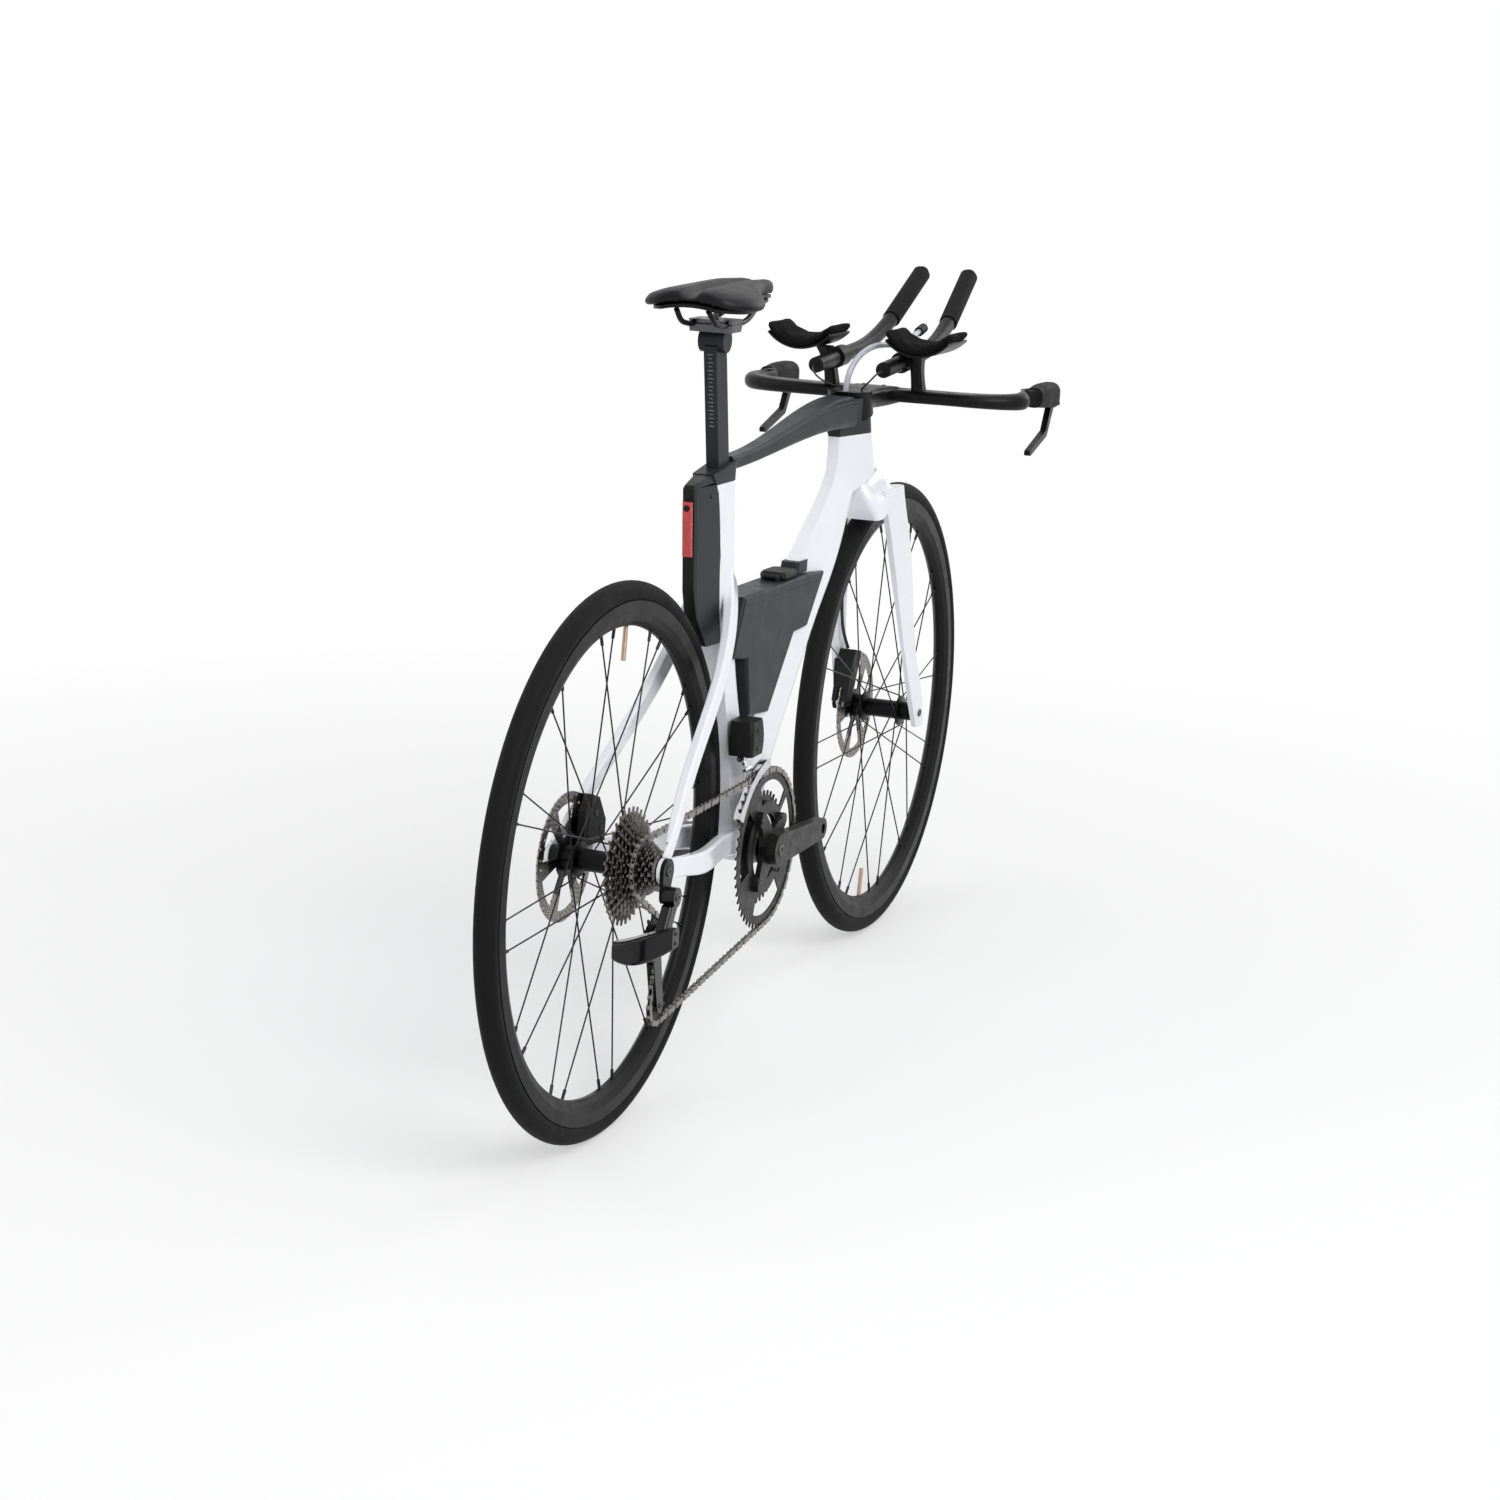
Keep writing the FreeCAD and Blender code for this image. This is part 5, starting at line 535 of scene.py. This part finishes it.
class BIKE_OT_studio(bpy.types.Operator):
    """Camera, floor, backdrop and lamps"""
    bl_idname = "bike.studio"
    bl_label = "Set up the studio"

    def execute(self, context):
        studio = context.scene.bike_studio
        context.scene.view_settings.view_transform = "Standard"
        self.camera(context.scene, studio)
        self.floor(studio)
        self.backdrop(context.scene)
        for lamp in LAMPS:
            self.lamp(*lamp)
        return {"FINISHED"}

    def camera(self, scene, studio):
        yaw, pitch, roll = studio.camera_yaw, studio.camera_pitch, studio.camera_roll
        ahead = Vector((math.cos(yaw) * math.cos(pitch), math.sin(yaw) * math.cos(pitch), -math.sin(pitch)))
        level = ahead.cross(Vector((0, 0, 1))).normalized()
        drop = ahead.cross(level)
        right = math.cos(roll) * level + math.sin(roll) * drop
        down = -math.sin(roll) * level + math.cos(roll) * drop
        data = bpy.data.cameras.new("camera")
        data.lens = studio.lens
        data.sensor_width = 36.0
        data.clip_end = 200
        obj = link(bpy.data.objects.new("camera", data))
        turn = Matrix((right, -down, -ahead)).transposed()
        obj.matrix_world = Matrix.Translation(Vector(studio.camera_place)) @ turn.to_4x4()
        scene.camera = obj

    def floor(self, studio):
        mesh = bpy.data.meshes.new("floor")
        half = 40.0
        mesh.from_pydata([(-half, -half, 0), (half, -half, 0), (half, half, 0), (-half, half, 0)], [],
                         [(0, 1, 2, 3)])
        obj = mesh_object("floor", mesh)
        material = bpy.data.materials.new("studio floor")
        material.use_nodes = True
        material.node_tree.nodes.clear()
        make = Tree(material.node_tree)
        place = make.add("ShaderNodeTexCoord")
        away = make.add("ShaderNodeVectorMath", ((0, place.outputs["Object"]),), operation="LENGTH")
        fade = make.add("ShaderNodeMapRange", (("Value", away.outputs["Value"]), *FLOOR_FADE))
        share = make.maths("MULTIPLY", make.seen_rays(), fade.outputs[0])
        matt = make.add("ShaderNodeBsdfDiffuse", (("Color", (*studio.floor, 1)),))
        glow = make.add("ShaderNodeEmission")
        mix = make.add("ShaderNodeMixShader", ((0, share), (1, matt.outputs[0]), (2, glow.outputs[0])))
        make.add("ShaderNodeOutputMaterial", ((0, mix.outputs[0]),))
        mesh.materials.append(material)

    def backdrop(self, scene):
        world = bpy.data.worlds.new("studio")
        world.use_nodes = True
        world.node_tree.nodes.clear()
        make = Tree(world.node_tree)
        soft = make.add("ShaderNodeBackground", (("Color", (0.96, 0.97, 1.0, 1)), ("Strength", 0.45)))
        white = make.add("ShaderNodeBackground", (("Color", (1, 1, 1, 1)), ("Strength", 1.0)))
        mix = make.add("ShaderNodeMixShader", (
            (0, make.seen_rays()), (1, soft.outputs[0]), (2, white.outputs[0])))
        make.add("ShaderNodeOutputWorld", ((0, mix.outputs[0]),))
        scene.world = world

    def lamp(self, name, place, size, power):
        data = bpy.data.lights.new(name, "AREA")
        data.shape = "DISK"
        data.size = size
        data.energy = power
        obj = link(bpy.data.objects.new(name, data))
        obj.location = place
        obj.rotation_euler = (Vector((0, 0, 0.5)) - Vector(place)).to_track_quat("-Z", "Y").to_euler()


def millimetres(points):
    return [tuple(value / 1000 for value in place) for place in points]


DRINK_HOSE = millimetres([
    (279.3654, 0, 831.8779), (281.3654, -1, 852.8779), (290.8654, -5, 872.8779), (310.8654, -11, 887.8779),
    (341.8654, -18, 895.8779), (379.8654, -23, 894.8779), (421.8654, -26.5, 892.3779),
    (467.8654, -28, 895.8779), (510.8654, -28, 904.3779)])
SHIFT_WIRE = millimetres([
    (291.3654, 50, 867.8779), (278.8654, 50, 866.8779), (268.8654, 46, 861.8779), (269.8654, 38, 852.8779),
    (280.8654, 27, 844.8779), (298.8654, 18, 838.8779), (308.8654, 14, 836.3779)])
BRAKE_HOSE = millimetres([
    (402.3, 32.5, 640), (407.3, 34, 610), (414.3, 36.8, 570), (422.3, 39.5, 530), (430.3, 41.5, 494),
    (441.3, 41.5, 460), (457.6, 38.2, 435.6)])


class BIKE_OT_hoses(bpy.types.Operator):
    """Drink hose, two shift wires and the front brake hose"""
    bl_idname = "bike.hoses"
    bl_label = "Lay the hoses"

    def execute(self, context):
        sizes, paint = context.scene.bike_sizes, context.scene.bike_paint
        jacket = cable_finish(paint)
        hose = self.run("clear_drink_tube", DRINK_HOSE, sizes.hose_diameter, hose_finish(paint))
        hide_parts("drink_hose")
        cables = []
        for side, name in ((1, "left"), (-1, "right")):
            route = [(x, side * y, z) for x, y, z in SHIFT_WIRE]
            wire = self.run(f"shift_wire_{name}", route, sizes.wire_diameter, jacket)
            cables.append(wire)
        brake = self.run("front_brake_hose", BRAKE_HOSE, sizes.brake_diameter, jacket)
        for cable in cables + [brake]:
            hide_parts("cockpit_cables")
        return {"FINISHED"}

    def run(self, name, route, diameter, material):
        curve = bpy.data.curves.new(name, "CURVE")
        curve.dimensions = "3D"
        spline = curve.splines.new("NURBS")
        spline.points.add(len(route) - 1)
        for knot, place in zip(spline.points, route):
            knot.co = (*place, 1.0)
        spline.order_u = 3
        spline.use_endpoint_u = True
        spline.resolution_u = 12
        curve.bevel_depth = diameter / 2
        curve.bevel_resolution = 5
        curve.use_fill_caps = True
        curve.materials.append(material)
        obj = link(bpy.data.objects.new(name, curve))
        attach(obj, "steering")
        return obj


class BIKE_OT_finishes(bpy.types.Operator):
    """Paint, metal, rubber and plastic on the solid pieces"""
    bl_idname = "bike.finishes"
    bl_label = "Finish the solid pieces"

    def execute(self, context):
        paint = context.scene.bike_paint
        dress("head_tube down_tube seat_tube seat_stays chain_stays fork", pearl_paint(paint))
        dress("top_tube seatpost", slate_paint(paint))
        dress("storage_box", box_paint(paint))
        dress("drink_reservoir", tank_paint(paint))
        dress("saddle_shell cockpit extensions extension_brackets", carbon_finish(paint))
        for side, centre in (("rear", REAR_AXLE), ("front", FRONT_AXLE)):
            dress(f"{side}_tyre", tyre_finish(f"{side} tyre rubber", centre, paint))
            dress(f"{side}_rim", rim_finish(f"{side} rim", centre, paint))
            dress(f"{side}_rotor", disc_finish(f"{side} disc", centre, paint))
        black = metal_finish("black alloy", (0.014, 0.014, 0.015), 0.38)
        dress("rear_hub front_hub derailleur_hanger rear_thru_axle front_thru_axle saddle_rails "
              "brake_lever_left brake_lever_right", black)
        dress("rear_spokes front_spokes", metal_finish("black spoke", (0.03, 0.03, 0.032), 0.35, 500))
        dress("cassette", cog_finish(paint))
        dress("chain", metal_finish("chain steel", (0.24, 0.23, 0.22), 0.30, 500))
        dress("frame_bearings seatpost_wedge_screw saddle_clamp",
              metal_finish("clamp steel", (0.10, 0.10, 0.105), 0.32))
        moulded = plastic_finish("moulded black", paint.plastic, 0.48)
        dress("reservoir_lid light_button front_derailleur_motor guide_pulley tension_pulley "
              "shift_button_left shift_button_right bite_valve rear_caliper front_caliper", moulded)
        dress("rear_derailleur_body rear_derailleur_link rear_derailleur_knuckle derailleur_cage",
              plastic_finish("gloss black", (0.004, 0.004, 0.005), 0.18, 300, 0.25))
        dress("front_derailleur_link front_derailleur_cage",
              metal_finish("polished alloy", (0.62, 0.62, 0.64), 0.16, 200))
        dress("crank_arms chainrings", metal_finish("crank grey", tuple(paint.crank), 0.40, 240))
        dress("tail_light", lens_finish(paint))
        dress("lever_hoods", rubber_finish("hood rubber", paint.plastic))
        dress("extension_grips", wrap_finish(paint, context.scene.bike_sizes.wrap_pitch))
        return {"FINISHED"}


def merged_copy(node, shrink):
    """A closed copy of a node's mesh, drawn in a little along its normals."""
    mesh = NODES[node].data.copy()
    work = bmesh.new()
    work.from_mesh(mesh)
    bmesh.ops.remove_doubles(work, verts=work.verts, dist=0.00002)
    bmesh.ops.recalc_face_normals(work, faces=work.faces)
    work.normal_update()
    for vert in work.verts:
        vert.co -= vert.normal * shrink
    work.to_mesh(mesh)
    work.free()
    mesh.materials.clear()
    return mesh


def swell(obj, voxel, cap):
    """Remeshes the piece, swells it as a cloth skin under pressure and limits how far it may move."""
    remesh = obj.modifiers.new("even skin", "REMESH")
    remesh.mode = "VOXEL"
    remesh.voxel_size = voxel
    obj.data = evaluated_copy(obj, obj.name)
    obj.modifiers.clear()
    rest = [vert.co.copy() for vert in obj.data.vertices]
    cloth = obj.modifiers.new("skin", "CLOTH")
    cloth.settings.use_pressure = True
    cloth.settings.uniform_pressure_force = SKIN_PRESSURE
    cloth.settings.effector_weights.gravity = 0.0
    cloth.settings.tension_stiffness = SKIN_STIFFNESS
    cloth.settings.compression_stiffness = SKIN_STIFFNESS
    cloth.point_cache.frame_start = 1
    cloth.point_cache.frame_end = SKIN_FRAMES
    scene = bpy.context.scene
    for number in range(1, SKIN_FRAMES + 1):
        scene.frame_set(number)
    obj.data = evaluated_copy(obj, obj.name)
    obj.modifiers.clear()
    scene.frame_set(1)
    for vert, start in zip(obj.data.vertices, rest):
        move = vert.co - start
        if move.length > cap:
            vert.co = start + move.normalized() * cap
    finer = obj.modifiers.new("smooth", "SUBSURF")
    finer.levels = 1
    finer.render_levels = 1
    obj.data = evaluated_copy(obj, obj.name)
    obj.modifiers.clear()
    for polygon in obj.data.polygons:
        polygon.use_smooth = True


class BIKE_OT_saddle_cover(bpy.types.Operator):
    """Padded saddle cover"""
    bl_idname = "bike.saddle_cover"
    bl_label = "Make the saddle cover"

    def execute(self, context):
        sizes = context.scene.bike_sizes
        cover = mesh_object("saddle_cover", merged_copy("saddle_padding", SADDLE_SHRINK))
        swell(cover, SADDLE_CELL, sizes.saddle_swell)
        cover.data.materials.clear()
        cover.data.materials.append(leather_finish(context.scene.bike_paint))
        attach(cover, "saddle")
        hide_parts("saddle_padding")
        return {"FINISHED"}


class BIKE_OT_arm_rests(bpy.types.Operator):
    """Padded arm rest covers"""
    bl_idname = "bike.arm_rests"
    bl_label = "Make the arm rest covers"

    def execute(self, context):
        sizes = context.scene.bike_sizes
        covers = mesh_object("arm_rest_covers", merged_copy("arm_pads", PAD_SHRINK))
        swell(covers, PAD_CELL, sizes.pad_swell)
        covers.data.materials.clear()
        covers.data.materials.append(knit_finish(context.scene.bike_paint))
        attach(covers, "steering")
        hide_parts("arm_pads")
        return {"FINISHED"}


def on_surface(node, place, direction):
    """Where a line from outside first meets a solid piece, and which way it faces there."""
    direction = Vector(direction)
    hit, spot, normal, _ = NODES[node].ray_cast(Vector(place) / 1000, direction)
    if not hit:
        raise ValueError(f"no surface of {node} at {place}")
    return spot, normal if normal.dot(-direction) > 0.94 else -direction


def fitting_tree(name, inputs):
    """An empty node tree with a fitting's inputs and its output."""
    tree = bpy.data.node_groups.new(name, "GeometryNodeTree")
    tree.interface.new_socket("Points", in_out="INPUT", socket_type="NodeSocketGeometry")
    for label, kind in inputs + [("Material", "NodeSocketMaterial")]:
        tree.interface.new_socket(label, in_out="INPUT", socket_type=kind)
    tree.interface.new_socket("Pieces", in_out="OUTPUT", socket_type="NodeSocketGeometry")
    return tree


class FittingTree(Tree):
    """A tree that puts pieces on the points it is given."""

    def __init__(self, tree):
        super().__init__(tree)
        self.given = tree.nodes.new("NodeGroupInput").outputs

    def named(self, name, kind):
        made = self.add("GeometryNodeInputNamedAttribute", (("Name", name),), data_type=kind)
        return made.outputs["Attribute"]

    def finish(self, piece, axis):
        turn = self.add("FunctionNodeAlignRotationToVector",
                        (("Vector", self.named("facing", "FLOAT_VECTOR")),), axis=axis)
        spread = self.add("GeometryNodeInstanceOnPoints", (
            ("Points", self.given["Points"]), ("Instance", piece), ("Rotation", turn.outputs[0]),
            ("Scale", self.named("stretch", "FLOAT_VECTOR"))))
        whole = self.add("GeometryNodeRealizeInstances", (("Geometry", spread.outputs[0]),))
        finished = self.add("GeometryNodeSetMaterial", (
            ("Geometry", whole.outputs[0]), ("Material", self.given["Material"])))
        out = self.tree.nodes.new("NodeGroupOutput")
        self.tree.links.new(finished.outputs[0], out.inputs["Pieces"])


def screw_tree():
    """A socket screw head of unit radius: a short bevelled drum with a six-sided well."""
    tree = fitting_tree("socket screws", [("Height", "NodeSocketFloat"), ("Socket", "NodeSocketFloat")])
    make = FittingTree(tree)
    height = make.given["Height"]
    drum = make.add("GeometryNodeMeshCone", (
        ("Vertices", 28), ("Radius Top", 0.9), ("Radius Bottom", 1.0),
        ("Depth", make.maths("MULTIPLY", height, 2.0))))
    lowered = make.add("ShaderNodeCombineXYZ", (("Z", make.maths("MULTIPLY", height, -1.0)),))
    seated = make.add("GeometryNodeTransform", (("Geometry", drum.outputs["Mesh"]),
                                                ("Translation", lowered.outputs[0])))
    well = make.add("GeometryNodeMeshCylinder", (
        ("Vertices", 6), ("Radius", make.given["Socket"]), ("Depth", make.maths("MULTIPLY", height, 1.5))))
    raised = make.add("ShaderNodeCombineXYZ", (("Z", make.maths("MULTIPLY", height, 0.95)),))
    placed = make.add("GeometryNodeTransform", (("Geometry", well.outputs["Mesh"]),
                                                ("Translation", raised.outputs[0])))
    head = make.add("GeometryNodeMeshBoolean", (("Mesh 1", seated.outputs[0]), ("Mesh 2", placed.outputs[0])),
                    operation="DIFFERENCE", solver="EXACT")
    make.finish(head.outputs["Mesh"], "Z")
    return tree


def bar_tree():
    """A small bar that lies across the surface."""
    tree = fitting_tree("bars", [("Size", "NodeSocketVector")])
    make = FittingTree(tree)
    bar = make.add("GeometryNodeMeshCube", (
        ("Size", make.given["Size"]), ("Vertices X", 2), ("Vertices Y", 3), ("Vertices Z", 2)))
    make.finish(bar.outputs["Mesh"], "X")
    return tree


def set_fittings(name, tree, spots, values):
    """Runs a fitting tree on a list of places, directions and stretches, and returns a plain piece."""
    mesh = bpy.data.meshes.new(name)
    mesh.from_pydata([spot for spot, facing, stretch in spots], [], [])
    facing = mesh.attributes.new("facing", "FLOAT_VECTOR", "POINT")
    facing.data.foreach_set("vector", [value for spot in spots for value in spot[1]])
    stretch = mesh.attributes.new("stretch", "FLOAT_VECTOR", "POINT")
    stretch.data.foreach_set("vector", [value for spot in spots for value in spot[2]])
    obj = mesh_object(name, mesh)
    modifier = obj.modifiers.new(tree.name, "NODES")
    modifier.node_group = tree
    for item in tree.interface.items_tree:
        if item.in_out == "INPUT" and item.name in values:
            modifier[item.identifier] = values[item.name]
    obj.data = evaluated_copy(obj, name)
    obj.modifiers.clear()
    return obj


# Screws: body, piece, a place outside it in millimetres, the way in and the head's radius
RIGHT, LEFT, DOWN, AHEAD = (0, 1, 0), (0, -1, 0), (0, 0, -1), (1, 0, 0)
SCREWS = [
    ("frame", "storage_box", (-242, -60, 751), RIGHT, 2.2),
    ("frame", "storage_box", (-242, 60, 751), LEFT, 2.2),
    ("frame", "rear_caliper", (-446, 120, 384), LEFT, 4.2),
    ("frame", "rear_caliper", (-430, 120, 362), LEFT, 4.2),
    ("frame", "rear_caliper", (-446, -20, 384), RIGHT, 4.2),
    ("frame", "rear_caliper", (-430, -20, 362), RIGHT, 4.2),
    ("frame", "front_derailleur_motor", (-152, -120, 440), RIGHT, 2.6),
    ("frame", "front_derailleur_motor", (-152, -120, 416), RIGHT, 2.6),
    ("frame", "rear_derailleur_body", (-508.3, -150, 312), RIGHT, 5.5),
    ("frame", "rear_thru_axle", (-502.3, -150, 340), RIGHT, 6.0),
    ("frame", "rear_thru_axle", (-502.3, 150, 340), LEFT, 6.0),
    ("steering", "front_thru_axle", (502.3, -150, 340), RIGHT, 6.0),
    ("steering", "front_thru_axle", (502.3, 150, 340), LEFT, 6.0),
    ("steering", "front_caliper", (452, 120, 404), LEFT, 4.2),
    ("steering", "front_caliper", (446, 120, 376), LEFT, 4.2),
    ("steering", "front_caliper", (452, -20, 404), RIGHT, 4.2),
    ("steering", "front_caliper", (446, -20, 376), RIGHT, 4.2),
    ("steering", "cockpit", (330, 13, 950), DOWN, 3.2),
    ("steering", "cockpit", (330, -13, 950), DOWN, 3.2),
    ("steering", "cockpit", (402, 15, 950), DOWN, 3.2),
    ("steering", "cockpit", (402, -15, 950), DOWN, 3.2),
    ("steering", "extension_brackets", (200, 62, 866), AHEAD, 2.8),
    ("steering", "extension_brackets", (200, -62, 866), AHEAD, 2.8),
    ("frame", "rear_derailleur_body", (-544.3, -150, 279), RIGHT, 3.0),
    ("frame", "rear_derailleur_body", (-544.3, -150, 267), RIGHT, 2.6),
    ("frame", "front_derailleur_motor", (-250, -34.5, 402), AHEAD, 2.6),
    ("rear_shift_knuckle", "rear_derailleur_knuckle", (-478, -150, 252), RIGHT, 3.0),
    ("rear_shift_knuckle", "rear_derailleur_knuckle", (-490.3, -66, 400), DOWN, 2.6),
    ("rear_cage", "derailleur_cage", (-468.3, -150, 250), RIGHT, 3.4),
    ("rear_cage", "derailleur_cage", (-448.4, -150, 153), RIGHT, 3.4),
    ("front_shift_link", "front_derailleur_link", (-250, -38, 395), AHEAD, 1.8),
    ("front_shift_cage", "front_derailleur_cage", (-250, -41.6, 387.2), AHEAD, 2.4),
    ("steering", "lever_hoods", (609.9, 300, 805.9), LEFT, 2.8),
    ("steering", "lever_hoods", (609.9, -300, 805.9), RIGHT, 2.8),
]


class BIKE_OT_screws(bpy.types.Operator):
    """Socket screws on the brackets, brakes, derailleurs and crank"""
    bl_idname = "bike.screws"
    bl_label = "Fit the screws"

    def execute(self, context):
        sizes = context.scene.bike_sizes
        tree = screw_tree()
        values = {"Height": sizes.screw_height, "Socket": sizes.socket_share,
                  "Material": metal_finish("screw steel", (0.11, 0.11, 0.115), 0.30, 500)}
        groups = {}
        for body, node, place, direction, radius in SCREWS + self.crank_bolts(sizes):
            spot, facing = on_surface(node, place, direction)
            groups.setdefault(body, []).append((spot, facing, (radius / 1000, radius / 1000, 1.0)))
        for body, spots in groups.items():
            screws = set_fittings(f"{body}_screws", tree, spots, values)
            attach(screws, body)
        return {"FINISHED"}

    def crank_bolts(self, sizes):
        """The axle bolt in each arm and the ring bolts round the spider."""
        x, _, z = BRACKET * 1000
        bolts = [("crankset", "crank_arms", (x, -150, z), RIGHT, 8.0),
                 ("crankset", "crank_arms", (x, 150, z), LEFT, 8.0)]
        for count in range(sizes.bolt_count):
            angle = math.radians(BOLT_START + 360 * count / sizes.bolt_count)
            place = (x + BOLT_RADIUS * math.cos(angle), -150, z + BOLT_RADIUS * math.sin(angle))
            bolts.append(("crankset", "crank_arms", place, RIGHT, 3.6))
        return bolts


class BIKE_OT_marks(bpy.types.Operator):
    """Ribs of the lamp lens and height marks on the post"""
    bl_idname = "bike.marks"
    bl_label = "Add ribs and marks"

    def execute(self, context):
        sizes, paint = context.scene.bike_sizes, context.scene.bike_paint
        tree = bar_tree()
        low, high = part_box("tail_light")
        count = int((high[2] - low[2] - LENS_MARGIN) / sizes.rib_pitch)
        spots = [self.behind("tail_light", low[2] + RIB_MARGIN + sizes.rib_pitch * step)
                 for step in range(count)]
        ribs = set_fittings("lens_ribs", tree, spots, {
            "Size": (RIB_DEPTH, RIB_WIDTH, sizes.rib_pitch * RIB_SHARE), "Material": lens_finish(paint)})
        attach(ribs, "frame")
        ticks = []
        for step in range(MARK_COUNT):
            spot, facing, _ = self.behind("seatpost", MARK_START + sizes.tick_pitch * step)
            ticks.append((spot, facing, (1.0, 1.0 if step % 2 else LONG_MARK, 1.0)))
        marks = set_fittings("post_marks", tree, ticks, {
            "Size": MARK_SIZE,
            "Material": plastic_finish("mark paint", (0.30, 0.31, 0.33), 0.5)})
        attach(marks, "saddle")
        return {"FINISHED"}

    def behind(self, node, height):
        """The place on a piece's rear at a height, in the bike's middle plane."""
        spot, facing = on_surface(node, (-600, 0.0, height * 1000), AHEAD)
        return spot, facing, (1.0, 1.0, 1.0)


CLASSES = [BikePaint, BikeSizes, BikeStudio, BIKE_OT_studio, BIKE_OT_hoses, BIKE_OT_finishes,
           BIKE_OT_saddle_cover, BIKE_OT_arm_rests, BIKE_OT_screws, BIKE_OT_marks]
STEPS = ["studio", "hoses", "finishes", "saddle_cover", "arm_rests", "screws", "marks"]


class BIKE_PT_panel(bpy.types.Panel):
    bl_label = "Time trial bike"
    bl_idname = "BIKE_PT_panel"
    bl_space_type = "VIEW_3D"
    bl_region_type = "UI"
    bl_category = "Bike"

    def draw(self, context):
        for group in (context.scene.bike_paint, context.scene.bike_sizes, context.scene.bike_studio):
            box = self.layout.box()
            for key in group.__annotations__:
                box.prop(group, key)
        for step in STEPS:
            self.layout.operator(f"bike.{step}")


def register():
    for cls in CLASSES + [BIKE_PT_panel]:
        bpy.utils.register_class(cls)
    bpy.types.Scene.bike_paint = PointerProperty(type=BikePaint)
    bpy.types.Scene.bike_sizes = PointerProperty(type=BikeSizes)
    bpy.types.Scene.bike_studio = PointerProperty(type=BikeStudio)


def unregister():
    del bpy.types.Scene.bike_paint
    del bpy.types.Scene.bike_sizes
    del bpy.types.Scene.bike_studio
    for cls in reversed(CLASSES + [BIKE_PT_panel]):
        bpy.utils.unregister_class(cls)


def main():
    register()
    for step in STEPS:
        getattr(bpy.ops.bike, step)()


if __name__ == "__main__":
    main()
